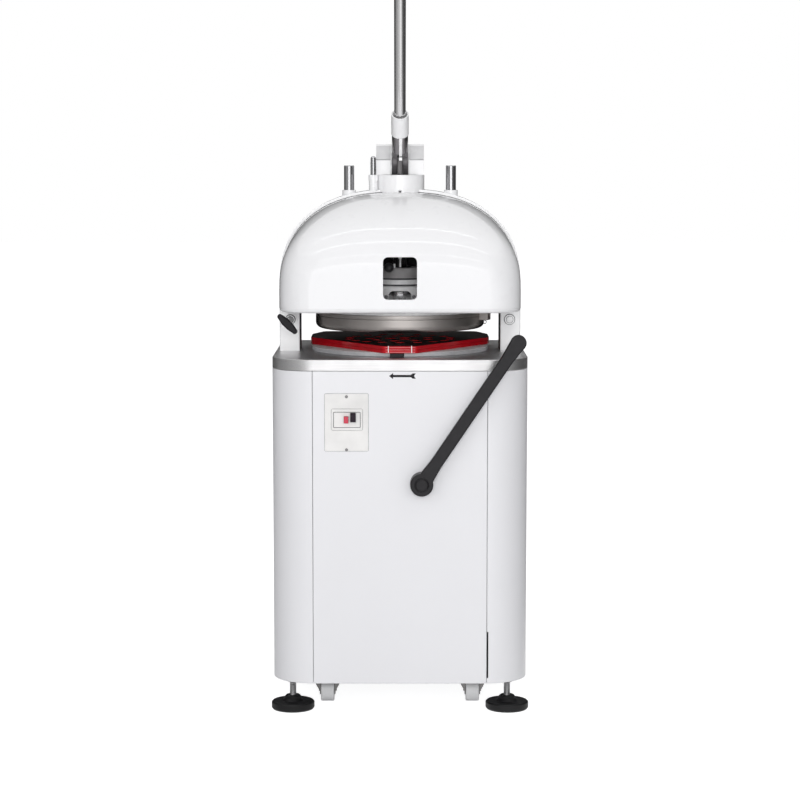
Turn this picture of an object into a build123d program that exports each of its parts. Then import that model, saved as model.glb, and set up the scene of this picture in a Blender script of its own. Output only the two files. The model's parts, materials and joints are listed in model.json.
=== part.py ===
from build123d import *
import math
import os

# Semi-automatic dough divider rounder on a cabinet.
# Millimetres, +Z up, X to the operator's right, Y to the rear.
# The origin is on the floor, under the axis of the press.

os.makedirs("parts", exist_ok=True)

# Fits
running = 0.05
slide_fit = 0.1
free_gap = 0.5
seat_gap = 0.5
past = 20.0

# Cabinet
body_width = 640.0
body_depth = 600.0
panel_height = 784.5
corner_radius = 105.0
rear_radius = 30.0
sheet = 2.0
lip_width = 12.0
front_panel_width = 432.0
panel_gap = 1.0
panel_return = 15.0
edge_slot = 3.5
edge_slot_bottom = 14.0
edge_slot_top = 131.0
base_thickness = 8.0
frame_tube = 35.0
frame_wall = 3.0
frame_inset_x = 80.0
frame_inset_y = 80.0
shelf_height = 500.0
shelf_thickness = 8.0
louvre_count = 6
louvre_width = 180.0
louvre_slot = 7.0
louvre_pitch = 18.0
louvre_height = 300.0
shaft_hole_gap = 3.0
rear_screw_x = 25.0
rear_screw_z = 40.0

# Table
table_gap = 1.0
table_depth = 27.5
table_skin = 12.0
table_rim = 20.0
table_edge = 2.0
crank_head_gap = 2.0

# Rounding table and moulding plate
disc_radius = 228.0
disc_gap = 0.6
disc_thickness = 10.4
disc_chamfer = 1.0
guide_pin_radius = 6.0
guide_circle = 130.0
guide_pin_count = 3
guide_play = 1.0
orbit = 12.0
plate_thickness = 18.0
plate_nose_half = 42.0
plate_nose_y = -240.0
plate_shoulder_half = 229.0
plate_shoulder_y = 36.0
plate_half_width = 233.0
plate_side_y = 150.0
plate_back_half = 205.0
plate_back_y = 241.0
plate_corner = 22.0
plate_edge = 2.0
plate_groove = 2.0
plate_groove_depth = 1.5
cup_depth = 2.5
cup_radii = (16.0, 14.0, 13.0)
catch_left = -25.0
catch_right = 10.0
catch_depth = 13.0
catch_edge = 2.0

# Press head
press_stroke = 29.5
press_clearance = 0.5
ring_height = 43.0
chamber_radius = 172.0
ring_band = 46.0
ring_wall = 8.0
ring_floor = 18.0
ring_edge = 15.0
ring_foot = 1.0
groove_depth = 2.0
groove_width = 3.0
groove_drop = 9.0
latch_angle = -17.0
latch_radius = 4.0
latch_length = 20.0
latch_reach = 6.0
lug_length = 25.5
lug_width = 30.0
lug_height = 18.0
lug_drop = 2.0
lug_reach = 7.75
pull_ring = 4.2
pull_wire = 1.0
pull_reach = 9.0
pull_drop = 16.5
pull_stem_radius = 1.4
pull_travel = 5.0
pull_gap = 0.5
crosshead_radius = 212.0
crosshead_thickness = 14.0
band_radii = (0.0, 50.0, 105.0, 159.5)
band_counts = (3, 9, 18)
blade = 1.5
blade_gap = 0.4
blade_height = 16.0
knife_recess = 2.0
knife_stroke = 24.5
hoop_wall = 3.0
press_plate_rise = 23.0
press_plate_thickness = 14.0
press_stem_radius = 7.0
knife_rod_radius = 4.0
knife_rod_circle = 166.0
knife_arm_width = 14.0
knife_arm_thickness = 10.0
knife_arm_gap = 3.0
knife_arm_angles = (30, 150, 270)
knife_hub_radius = 40.0
bell_radius = 64.0
bell_wall = 16.0
bell_roof = 12.0
bell_height = 51.5
bell_opening = 58.0
bell_opening_height = 38.8
bell_opening_corner = 11.0
bell_edge = 6.0
bell_guide_radius = 15.0
flange_radius = 62.0
flange_thickness = 11.7
flange_gap = 4.2
flange_neck_radius = 50.0
release_seat_radius = 30.0
release_seat_proud = 1.0
release_height = 26.2
release_rod_radius = 3.0
release_knob_radius = 12.5
release_reach = 110.0
release_side = -28.0
release_chamfer = 2.0
release_rod_sink = 20.0
release_rod_drop = 8.0
release_knob_rise = 3.6
plunger_radius = 20.0
post_radius = 13.0
post_spacing = 262.0
post_rise = 359.0
post_chamfer = 1.5

# Columns, arch and dome
column_width = 52.0
column_depth = 80.0
column_wall = 5.0
column_inset = 10.0
column_edge = 4.0
dome_inset = 17.5
dome_lift = 112.0
dome_upstand = 50.0
arch_rise = 253.0
arch_thickness = 48.0
arch_shape = 2.45
dome_rise = 245.0
dome_wall = 4.0
dome_reach = 270.0
dome_crown_y = 60.0
dome_front_height = 50.0
dome_corner = 85.0
dome_shape = 2.45
dome_front_shape = 4.5
dome_seam = 0.5
dome_turns = (0, 10, 22, 36, 52, 70, 90)
window_width = 84.0
window_height = 105.0
window_lift = 34.0
window_corner = 12.0
lock_drop = 31.0
lock_inset = 2.0
lock_boss_radius = 11.5
lock_stem_radius = 7.0
lock_stem_past = 12.0
lock_boss_height = 14.0
cap_radius = 12.8
cap_height = 6.0
cap_button = 2.0
cap_step = 5.5
handle_length = 65.5
handle_end = 12.6
handle_middle = 19.6
handle_flat = 9.0
handle_thickness = 14.0
handle_angle = -45.0
handle_stand = 140.0
handle_edge = 4.0

# Neck, lever housing and press lever
neck_wall = 12.5
neck_gap = 3.1
neck_sink = 13.0
neck_height = 49.0
bush_wall = 3.0
bush_collar = 1.5
bush_flange = 14.0
bush_sink = 4.0
bush_below = 6.0
housing_half = 61.0
housing_front = 20.0
housing_back = 58.0
housing_crease = 39.0
housing_height = 78.0
housing_slope = 22.0
housing_edge = 5.0
cheek_inner = 24.0
pivot_lift = 19.0
pivot_radius = 8.0
pivot_chamfer = 1.0
lever_lean = 37.0
lever_swing = 50.0
hub_radius = 20.0
hub_root_radius = 19.0
hub_shoulder_radius = 20.5
hub_length = 107.0
hub_slot = 15.0
hub_slot_length = 54.0
spigot_radius = 18.0
spigot_length = 38.0
crank_pin_radius = 6.0
crank_boss_radius = 12.0
tongue_side_gap = 0.5
pin_play = 0.35
tongue_wall = 6.0
tongue_web = 5.0
tongue_sink = 9.0
ferrule_radius = 22.0
ferrule_length = 61.0
ferrule_cup_radius = 19.0
tube_radius = 14.4
tube_wall = 3.0
tube_length = 645.0
grip_radius = 18.0
grip_length = 150.0
grip_overlap = 60.0
grip_end_gap = 2.0
grip_round = 11.0
adjuster_gap = 0.9
adjuster_y = -32.0
adjuster_radius = 7.0
adjuster_rise = 48.0
adjuster_sink = 5.0
adjuster_below = 15.0
adjuster_collar_radius = 12.0
adjuster_sleeve_radius = 11.0
adjuster_collar_height = 15.0
adjuster_sleeve_height = 26.0

# Rounding drive
lever_x = 53.5
lever_z = 582.0
lever_length = 423.0
lever_angle = 55.98
lever_hub_radius = 28.5
lever_hub_front = 342.0
lever_hub_gap = 3.0
lever_thickness = 16.0
lever_root_half = 20.5
lever_half = 15.2
lever_tip_half = 19.5
lever_root_taper = 62.0
lever_tip_taper = 48.0
lever_waist = 150.0
lever_cap_radius = 17.0
lever_cap_height = 5.0
lever_edge = 3.0
lever_shaft_radius = 10.0
pinion_module = 2.0
pinion_teeth = 22
tooth_share = 0.42
tooth_top = 0.9
tooth_root = 1.25
tooth_slope = 20.0
tooth_bury = 1.0
pinion_half = 13.0
rack_half = 14.0
rack_bottom = 545.0
rack_top = 645.0
rack_end = 8.0
rack_pin_radius = 7.0
rack_pin_length = 95.0
guide_wall = 16.0
guide_top = 640.0
guide_reach = 6.0
shaft_end_gap = 1.0
bearing_gap = 5.0
bearing_half = 22.0
bearing_length = 30.0
shaft_bottom = 670.0
shaft_radius = 25.0
shaft_bore = 7.5
shaft_bore_end = 20.0
crank_head_radius = 46.0
crank_head_height = 34.0
slider_half_width = 15.0
slider_half_length = 30.0
slider_height = 18.0
spindle_radius = 15.0
spindle_height = 8.0
crank_drop = 4.0
housing_radius = 55.0
housing_flange_radius = 90.0
housing_flange = 12.0
housing_lift = 6.0
pulley_bottom = 678.0
pulley_width = 32.0
pulley_flange = 3.0
crank_pulley_radius = 100.0
motor_pulley_radius = 40.0
pulley_groove = 6.0
pulley_hole_circle = 62.0
pulley_hole_radius = 17.0
pulley_hole_count = 5
belt_thickness = 4.5
belt_gap = 0.3
motor_y = 165.0
motor_radius = 70.0
motor_foot_radius = 85.0
motor_foot = 10.0
motor_height = 150.0
motor_shaft_radius = 9.5
motor_shaft_seat = 20.0
motor_shaft_gap = 1.0
terminal_sink = 15.0
terminal_reach = 28.0
terminal_half = 35.0
terminal_bottom = 45.0
terminal_top = 115.0

# Switch
switch_x = -132.2
switch_z = 732.8
switch_width = 107.5
switch_height = 142.4
switch_thickness = 2.0
switch_corner = 3.0
bezel_width = 77.0
bezel_height = 53.0
bezel_thickness = 5.0
bezel_middle = -131.0
bezel_z = 740.0
bezel_corner = 4.0
bezel_chamfer = 1.5
dish_inset_x = 6.0
dish_inset_z = 8.0
dish_depth = 2.0
screw_head_radius = 3.6
screw_head = 2.0
screw_shank_radius = 2.0
screw_length = 8.0
switch_screw_rise = 64.2
switch_screw_drop = 67.8
start_x = -116.0
start_rise = 6.0
start_width = 13.0
start_height = 22.0
start_proud = 9.0
stop_x = -133.0
stop_width = 11.0
stop_height = 17.0
stop_proud = 5.0
button_depth = 6.0
button_edge = 1.5

# Castors and feet
castor_x = 184.5
castor_front_y = -180.0
castor_rear_y = 225.0
wheel_radius = 30.0
wheel_half = 17.0
wheel_lift = 2.5
wheel_edge = 4.0
wheel_headroom = 10.5
axle_radius = 5.0
axle_end = 3.0
fork_gap = 0.5
fork_wall = 2.5
fork_plate_half = 30.0
fork_plate_length = 70.0
fork_plate = 4.0
fork_cheek = 24.0
fork_gusset = 42.0
fork_leg_half = 18.0
foot_x = 270.0
foot_y = -248.0
pad_radius = 54.0
pad_rim = 20.0
pad_edge = 3.0
pad_foot = 4.0
pad_cone = 6.0
pad_hub_radius = 20.0
pad_hub_bottom = 27.0
pad_height = 35.0
stem_radius = 8.0
stem_bottom = 12.0
stem_above = 25.0
nut_flats_radius = 13.5
nut_height = 9.0
gland_x = 150.0
gland_z = 180.0
gland_radius = 11.0
gland_nut_radius = 15.0
gland_bore = 5.0
gland_inside = 14.0
gland_outside = 16.0
gland_nut = 9.0
gland_lock_nut = 7.0
gland_chamfer = 2.0

# Levels worked out from the sizes above
base_z = 2 * wheel_radius + wheel_lift + wheel_headroom + fork_plate
body_bottom = base_z - sheet
panel_top = body_bottom + panel_height
table_bottom = panel_top + table_gap
table_z = table_bottom + table_depth
table_under = table_z - table_skin
disc_bottom = table_z + disc_gap
disc_z = disc_bottom + disc_thickness
plate_z = disc_z + plate_thickness
ring_bottom = plate_z + press_stroke + press_clearance
ring_top = ring_bottom + ring_height
ring_radius = chamber_radius + ring_band
crosshead_z = ring_top + crosshead_thickness
bell_z = crosshead_z + bell_height
flange_bottom = bell_z + flange_gap
flange_top = flange_bottom + flange_thickness
release_bottom = flange_top + flange_gap
release_top = release_bottom + release_height
dome_bottom = table_z + dome_lift
spring_z = dome_bottom + dome_upstand
arch_top = spring_z + arch_rise
arch_half = body_width / 2 - column_inset
dome_half = body_width / 2 - dome_inset
column_x = arch_half - column_width / 2
column_inner = arch_half - column_width
lock_x = column_x - lock_inset
lock_z = dome_bottom - lock_drop
neck_bottom = arch_top - neck_sink
neck_top = neck_bottom + neck_height
pivot_z = neck_top + pivot_lift
front_y = -body_depth / 2
frame_x = body_width / 2 - frame_inset_x
frame_y = body_depth / 2 - frame_inset_y
shelf_z = shelf_height + shelf_thickness
post_x = post_spacing / 2
crank_z = table_z - crank_drop
crank_head_bottom = crank_z - crank_head_height
swing_radius = press_stroke / 2 / math.sin(math.radians(lever_swing / 2))
tongue_front = -swing_radius - crank_pin_radius - tongue_wall
neck_bore = neck_gap - tongue_front
neck_radius = neck_bore + neck_wall
adjuster_circle = neck_radius + adjuster_collar_radius + adjuster_gap
adjuster_x = -math.sqrt(adjuster_circle**2 - adjuster_y**2)
bush_radius = post_radius + bush_wall
bush_flange_radius = bush_radius + bush_collar


# Shapes shared by several pieces
def block(x_range, y_range, z_range, mode=Mode.ADD):
    """Box between two values on each axis."""
    size = [span[1] - span[0] for span in (x_range, y_range, z_range)]
    middle = [sum(span) / 2 for span in (x_range, y_range, z_range)]
    with Locations(tuple(middle)):
        Box(*size, mode=mode)


def upright(x, y, bottom, top, radius, mode=Mode.ADD):
    """Cylinder standing along Z."""
    with Locations((x, y, (bottom + top) / 2)):
        Cylinder(radius, top - bottom, mode=mode)


def lengthways(x, z, front, back, radius, mode=Mode.ADD):
    """Cylinder lying along Y."""
    with Locations(Location((x, (front + back) / 2, z), (90, 0, 0))):
        Cylinder(radius, back - front, mode=mode)


def crossways(y, z, left, right, radius, mode=Mode.ADD):
    """Cylinder lying along X."""
    with Locations(Location(((left + right) / 2, y, z), (0, 90, 0))):
        Cylinder(radius, right - left, mode=mode)


def front_plane(y):
    """Upright plane at a given Y, drawn as the operator sees it."""
    return Plane(origin=(0, y, 0), x_dir=(1, 0, 0), z_dir=(0, -1, 0))


def body_plan(inset, height):
    """Plan of the cabinet, drawn in by an inset, at a height."""
    with BuildSketch(Plane.XY.offset(height)) as plan:
        Rectangle(body_width - 2 * inset, body_depth - 2 * inset)
        fillet(plan.vertices().group_by(Axis.Y)[0], corner_radius - inset)
        fillet(plan.vertices().group_by(Axis.Y)[-1], rear_radius - inset)
    return plan.sketch


def crown_points(half_width, rise, shape, steps=12):
    """Points of a rounded crown from the right springing to the left one."""
    points = []
    for step in range(steps + 1):
        turn = math.pi * step / steps
        across = math.cos(turn)
        up = max(math.sin(turn), 0.0)
        x = math.copysign(half_width * abs(across) ** (2 / shape), across)
        points.append((x, spring_z + rise * up ** (2 / shape)))
    points[0] = (half_width, spring_z)
    points[-1] = (-half_width, spring_z)
    return points


def save(piece, name):
    """Label a finished piece and write it."""
    piece.part.label = name
    export_step(piece.part, f"parts/{name}.step")


# Base plate and welded inner frame
feet = [(-foot_x, foot_y), (foot_x, foot_y)]
posts = [(x, y) for x in (-frame_x, frame_x) for y in (-frame_y, frame_y)]
base_outline = body_plan(sheet + seat_gap, base_z)
base_top = base_z + base_thickness
with BuildPart() as base_plate:
    extrude(base_outline, amount=base_thickness)
    for x, y in feet:
        upright(x, y, base_z, base_top, stem_radius + slide_fit, Mode.SUBTRACT)
save(base_plate, "base_plate")

shelf_half = frame_x - frame_tube / 2
half_tube = frame_tube / 2
hollow = half_tube - frame_wall
with BuildPart() as inner_frame:
    for x, y in posts:
        sides_x = (x - half_tube, x + half_tube)
        sides_y = (y - half_tube, y + half_tube)
        block(sides_x, sides_y, (base_top, table_under))
        hollow_x = (x - hollow, x + hollow)
        hollow_y = (y - hollow, y + hollow)
        block(hollow_x, hollow_y, (base_top, table_under), Mode.SUBTRACT)
    shelf_y = frame_y + half_tube
    block((-shelf_half, shelf_half), (-shelf_y, shelf_y), (shelf_height, shelf_z))
save(inner_frame, "inner_frame")

# Cabinet panels
shell_outer = body_plan(0, body_bottom)
shell_inner = body_plan(sheet, base_z)
shell_lip = body_plan(lip_width, body_bottom)
side_edge = front_panel_width / 2 + panel_gap
with BuildPart() as side_panel_left:
    extrude(shell_outer, amount=panel_height)
    extrude(shell_inner, amount=panel_height, mode=Mode.SUBTRACT)
    extrude(shell_lip, amount=panel_height, mode=Mode.SUBTRACT)
    split(bisect_by=Plane.YZ.offset(-side_edge), keep=Keep.BOTTOM)
save(side_panel_left, "side_panel_left")

# The right panel has a long slot in its front edge, near the bottom
with BuildPart() as side_panel_right:
    mirror(side_panel_left.part, about=Plane.YZ)
    slot_x = (side_edge, side_edge + edge_slot)
    slot_z = (body_bottom + edge_slot_bottom, body_bottom + edge_slot_top)
    block(slot_x, (front_y, front_y + lip_width), slot_z, Mode.SUBTRACT)
save(side_panel_right, "side_panel_right")

half_panel = front_panel_width / 2
base_notch = (base_z, base_top + free_gap)
tray_y = front_y + panel_return
screw_heights = (switch_z + switch_screw_rise, switch_z - switch_screw_drop)
bezel_x = (bezel_middle - bezel_width / 2, bezel_middle + bezel_width / 2)
bezel_span = (bezel_z - bezel_height / 2, bezel_z + bezel_height / 2)
switch_front = front_y - switch_thickness
buttons = {
    "start_button": (start_x, bezel_z + start_rise, start_width, start_height, start_proud),
    "stop_button": (stop_x, bezel_z, stop_width, stop_height, stop_proud),
}


def button_openings(front, back):
    """Cut the two push-button openings through a plate."""
    for x, z, width, height, _ in buttons.values():
        half_width = width / 2 + free_gap
        half_height = height / 2 + free_gap
        span_x = (x - half_width, x + half_width)
        span_z = (z - half_height, z + half_height)
        block(span_x, (front, back), span_z, Mode.SUBTRACT)


with BuildPart() as front_panel:
    block((-half_panel, half_panel), (front_y, tray_y), (body_bottom, panel_top))
    inner_x = (-half_panel + sheet, half_panel - sheet)
    inner_y = (front_y + sheet, tray_y)
    block(inner_x, inner_y, (base_z, panel_top - sheet), Mode.SUBTRACT)
    block((-half_panel, half_panel), inner_y, base_notch, Mode.SUBTRACT)
    lengthways(lever_x, lever_z, front_y, tray_y, lever_shaft_radius + shaft_hole_gap, Mode.SUBTRACT)
    button_openings(front_y, tray_y)
    for z in screw_heights:
        lengthways(switch_x, z, front_y, tray_y, screw_shank_radius + slide_fit, Mode.SUBTRACT)
save(front_panel, "front_panel")

rear_y = -front_y
rear_tray = rear_y - panel_return
rear_screws = [
    (x, z)
    for x in (-half_panel + rear_screw_x, half_panel - rear_screw_x)
    for z in (body_bottom + rear_screw_z, body_bottom + panel_height / 2, panel_top - rear_screw_z)
]
with BuildPart() as rear_panel:
    block((-half_panel, half_panel), (rear_tray, rear_y), (body_bottom, panel_top))
    inner_y = (rear_tray, rear_y - sheet)
    block(inner_x, inner_y, (base_z, panel_top - sheet), Mode.SUBTRACT)
    block((-half_panel, half_panel), inner_y, base_notch, Mode.SUBTRACT)
    for row in range(louvre_count):
        bottom = louvre_height + row * louvre_pitch
        for side in (-1, 1):
            middle = side * front_panel_width / 4
            span_x = (middle - louvre_width / 2, middle + louvre_width / 2)
            block(span_x, (rear_tray, rear_y), (bottom, bottom + louvre_slot), Mode.SUBTRACT)
    lengthways(gland_x, gland_z, rear_tray, rear_y, gland_radius + slide_fit, Mode.SUBTRACT)
    for x, z in rear_screws:
        lengthways(x, z, rear_tray, rear_y, screw_shank_radius + slide_fit, Mode.SUBTRACT)
save(rear_panel, "rear_panel")

with BuildPart() as cable_gland:
    gland_y = (rear_y - gland_inside, rear_y + gland_outside)
    lengthways(gland_x, gland_z, *gland_y, gland_radius)
    inside_y = rear_y - sheet
    for inner, outer in ((rear_y, rear_y + gland_nut), (inside_y - gland_lock_nut, inside_y)):
        with BuildSketch(front_plane(outer)):
            with Locations((gland_x, gland_z)):
                RegularPolygon(gland_nut_radius, 6)
        extrude(amount=outer - inner)
    chamfer(cable_gland.faces().sort_by(Axis.Y)[-1].edges(), gland_chamfer)
    lengthways(gland_x, gland_z, *gland_y, gland_bore, Mode.SUBTRACT)
save(cable_gland, "cable_gland")

# Table top with the bores for the crank head and the guide pins
table_outline = body_plan(0, table_bottom)
table_pocket = body_plan(table_rim, table_bottom)
with BuildPart() as table_top:
    extrude(table_outline, amount=table_depth)
    fillet(table_top.faces().sort_by(Axis.Z)[-1].edges(), table_edge)
    extrude(table_pocket, amount=table_depth - table_skin, mode=Mode.SUBTRACT)
    upright(0, 0, table_bottom, table_z, crank_head_radius + crank_head_gap, Mode.SUBTRACT)
    with PolarLocations(guide_circle, guide_pin_count):
        with Locations((0, 0, table_z)):
            Cylinder(guide_pin_radius + slide_fit, 4 * table_skin, mode=Mode.SUBTRACT)
save(table_top, "table_top")

with BuildPart() as guide_pins:
    pin_height = table_skin + disc_gap + disc_thickness / 2
    pin_middle = table_under + pin_height / 2
    with PolarLocations(guide_circle, guide_pin_count):
        with Locations((0, 0, pin_middle)):
            Cylinder(guide_pin_radius, pin_height)
save(guide_pins, "guide_pins")

# Columns and arch
arch_half_y = column_depth / 2


def column(side):
    """Hollow upright at one side of the table."""
    with BuildPart() as upright_column:
        half = column_width / 2
        span_x = (side * column_x - half, side * column_x + half)
        block(span_x, (-arch_half_y, arch_half_y), (table_z, spring_z))
        fillet(upright_column.edges().filter_by(Axis.Z), column_edge)
        hollow_x = (span_x[0] + column_wall, span_x[1] - column_wall)
        hollow_y = (-arch_half_y + column_wall, arch_half_y - column_wall)
        block(hollow_x, hollow_y, (table_z, spring_z), Mode.SUBTRACT)
        lock_bore = lock_stem_radius + running
        lengthways(side * lock_x, lock_z, -arch_half_y, 0, lock_bore, Mode.SUBTRACT)
    return upright_column


save(column(-1), "column_left")
save(column(1), "column_right")

bush_bottom = arch_top - arch_thickness - bush_below
bush_seat = spring_z + arch_rise * (1 - (post_x / arch_half) ** arch_shape) ** (1 / arch_shape)
bush_seat -= bush_sink
adjuster_seat = arch_top - adjuster_sink
with BuildPart() as arch_beam:
    with BuildSketch(front_plane(arch_half_y)):
        with BuildLine():
            outer = crown_points(arch_half, arch_rise, arch_shape)
            inner = crown_points(column_inner, arch_rise - arch_thickness, arch_shape)
            Spline(outer, tangents=[(0, 1), (0, -1)], tangent_scalars=[1, 1])
            Line(outer[-1], inner[-1])
            Spline(inner, tangents=[(0, 1), (0, -1)], tangent_scalars=[1, 1])
            Line(inner[0], outer[0])
        make_face()
    extrude(amount=column_depth)
    upright(0, 0, neck_bottom, arch_top + past, neck_radius + free_gap, Mode.SUBTRACT)
    upright(0, 0, spring_z, arch_top, plunger_radius + running, Mode.SUBTRACT)
    for x in (-post_x, post_x):
        upright(x, 0, bush_seat, arch_top + past, bush_flange_radius + free_gap, Mode.SUBTRACT)
        upright(x, 0, spring_z, arch_top, bush_radius + slide_fit, Mode.SUBTRACT)
    seat_radius = adjuster_collar_radius + free_gap
    upright(adjuster_x, adjuster_y, adjuster_seat, arch_top + past, seat_radius, Mode.SUBTRACT)
    rod_bore = adjuster_radius + slide_fit
    upright(adjuster_x, adjuster_y, spring_z, arch_top, rod_bore, Mode.SUBTRACT)
save(arch_beam, "arch_beam")

# Guide-post bushes and the sleeve of the adjuster rod
sleeve_top = adjuster_seat + adjuster_sleeve_height
collar_top = sleeve_top + adjuster_collar_height
with BuildPart() as post_bushes:
    for x in (-post_x, post_x):
        upright(x, 0, bush_seat, bush_seat + bush_flange, bush_flange_radius)
        upright(x, 0, bush_bottom, bush_seat, bush_radius)
        upright(x, 0, bush_bottom, bush_seat + bush_flange, post_radius + running, Mode.SUBTRACT)
    upright(adjuster_x, adjuster_y, adjuster_seat, sleeve_top, adjuster_sleeve_radius)
    upright(adjuster_x, adjuster_y, sleeve_top, collar_top, adjuster_collar_radius)
    sleeve_bore = adjuster_radius + running
    upright(adjuster_x, adjuster_y, adjuster_seat, collar_top, sleeve_bore, Mode.SUBTRACT)
save(post_bushes, "post_bushes")

adjuster_top = collar_top + adjuster_rise
with BuildPart() as adjuster_rod:
    rod_bottom = arch_top - arch_thickness - adjuster_below
    upright(adjuster_x, adjuster_y, rod_bottom, adjuster_top - adjuster_radius, adjuster_radius)
    with Locations((adjuster_x, adjuster_y, adjuster_top - adjuster_radius)):
        Sphere(adjuster_radius)
save(adjuster_rod, "adjuster_rod")


# Dome covers, one in front of the arch and one behind it
def dome_sections(wall, end_y):
    """Cross-sections of the dome, drawn in by a wall, from its front to end_y."""
    sections = []
    for turn in dome_turns:
        along = math.cos(math.radians(turn))
        up = math.sin(math.radians(turn))
        outer_y = dome_crown_y + (dome_reach - dome_crown_y) * along
        past_corner = max(outer_y - (dome_reach - dome_corner), 0.0)
        drawn_in = dome_corner - math.sqrt(dome_corner**2 - past_corner**2)
        half_width = dome_half - drawn_in - wall
        rise = dome_front_height + (dome_rise - dome_front_height) * up - wall
        shape = dome_front_shape + (dome_shape - dome_front_shape) * math.sqrt(up)
        y = dome_crown_y + (dome_reach - dome_crown_y - wall) * along
        sections.append((-y, half_width, rise, shape))
    sections.append((-end_y, dome_half - wall, dome_rise - wall, dome_shape))
    return sections


def dome_solid(wall, bottom, end_y, mode=Mode.ADD):
    """Loft the dome through its cross-sections."""
    faces = []
    for y, half_width, rise, shape in dome_sections(wall, end_y):
        with BuildSketch(front_plane(y)) as section:
            with BuildLine():
                crown = crown_points(half_width, rise, shape)
                Spline(crown, tangents=[(0, 1), (0, -1)], tangent_scalars=[1, 1])
                Polyline(crown[-1], (-half_width, bottom), (half_width, bottom), crown[0])
            make_face()
        faces.append(section.sketch)
    loft(faces, mode=mode)


def dome_cover(with_window):
    """Open shell with the cut-outs for the neck and the adjuster sleeve."""
    seam_y = arch_half_y + dome_seam
    past_edge = dome_wall
    with BuildPart() as cover:
        dome_solid(0, dome_bottom, seam_y)
        dome_solid(dome_wall, dome_bottom - past_edge, seam_y - past_edge, Mode.SUBTRACT)
        upright(0, 0, spring_z, arch_top + past, neck_radius + 2 * free_gap, Mode.SUBTRACT)
        sleeve_clear = adjuster_collar_radius + 2 * free_gap
        upright(adjuster_x, adjuster_y, spring_z, arch_top + past, sleeve_clear, Mode.SUBTRACT)
        if with_window:
            with BuildSketch(front_plane(-dome_reach / 2)):
                with Locations((0, dome_bottom + window_lift + window_height / 2)):
                    RectangleRounded(window_width, window_height, window_corner)
            extrude(amount=dome_reach, mode=Mode.SUBTRACT)
    return cover


save(dome_cover(True), "front_cover")
with BuildPart() as rear_cover:
    mirror(dome_cover(False).part, about=Plane.XZ)
save(rear_cover, "rear_cover")

# Column caps and the clamping handle
cap_front = -arch_half_y - cap_height
boss_front = -arch_half_y - lock_boss_height
with BuildPart() as column_caps:
    lengthways(lock_x, lock_z, cap_front, -arch_half_y, cap_radius)
    lengthways(lock_x, lock_z, cap_front - cap_button, cap_front, cap_radius - cap_step)
    lengthways(-lock_x, lock_z, boss_front, -arch_half_y, lock_boss_radius)
    boss_bore = lock_stem_radius + running
    lengthways(-lock_x, lock_z, boss_front, -arch_half_y, boss_bore, Mode.SUBTRACT)
save(column_caps, "column_caps")

with BuildPart() as lock_handle:
    handle_back = boss_front - handle_stand
    stem_end = -arch_half_y + column_wall + lock_stem_past
    lengthways(-lock_x, lock_z, handle_back, stem_end, lock_stem_radius)
    with BuildSketch(front_plane(handle_back)):
        with Locations(Location((-lock_x, lock_z, 0), (0, 0, handle_angle))):
            SlotOverall(handle_length, handle_end)
            SlotCenterToCenter(2 * handle_flat, handle_middle)
        make_hull()
    extrude(amount=handle_thickness)
    fillet(lock_handle.faces().sort_by(Axis.Y)[0].edges(), handle_edge)
save(lock_handle, "lock_handle")

# Neck and lever housing
with BuildPart() as neck:
    upright(0, 0, neck_bottom, neck_top, neck_radius)
    upright(0, 0, neck_bottom, neck_top, neck_bore, Mode.SUBTRACT)
save(neck, "neck")

with BuildPart() as lever_housing:
    with BuildSketch(Plane.YZ.offset(-housing_half)):
        with BuildLine():
            Polyline(
                (-housing_front, neck_top),
                (-housing_front, neck_top + housing_crease),
                (-housing_front + housing_slope, neck_top + housing_height),
                (housing_back, neck_top + housing_height),
                (housing_back, neck_top),
                close=True,
            )
        make_face()
    extrude(amount=2 * housing_half)
    fillet(lever_housing.edges().filter_by(Axis.X).sort_by(Axis.Z)[-2:], housing_edge)
    slot_x = (-cheek_inner, cheek_inner)
    slot_y = (-housing_front, cheek_inner)
    block(slot_x, slot_y, (neck_top, neck_top + housing_height), Mode.SUBTRACT)
    crossways(0, pivot_z, -housing_half, housing_half, pivot_radius + running, Mode.SUBTRACT)
save(lever_housing, "lever_housing")

with BuildPart() as lever_pivot_pin:
    crossways(0, pivot_z, -housing_half, housing_half, pivot_radius)
    chamfer(lever_pivot_pin.edges(), pivot_chamfer)
save(lever_pivot_pin, "lever_pivot_pin")

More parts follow.
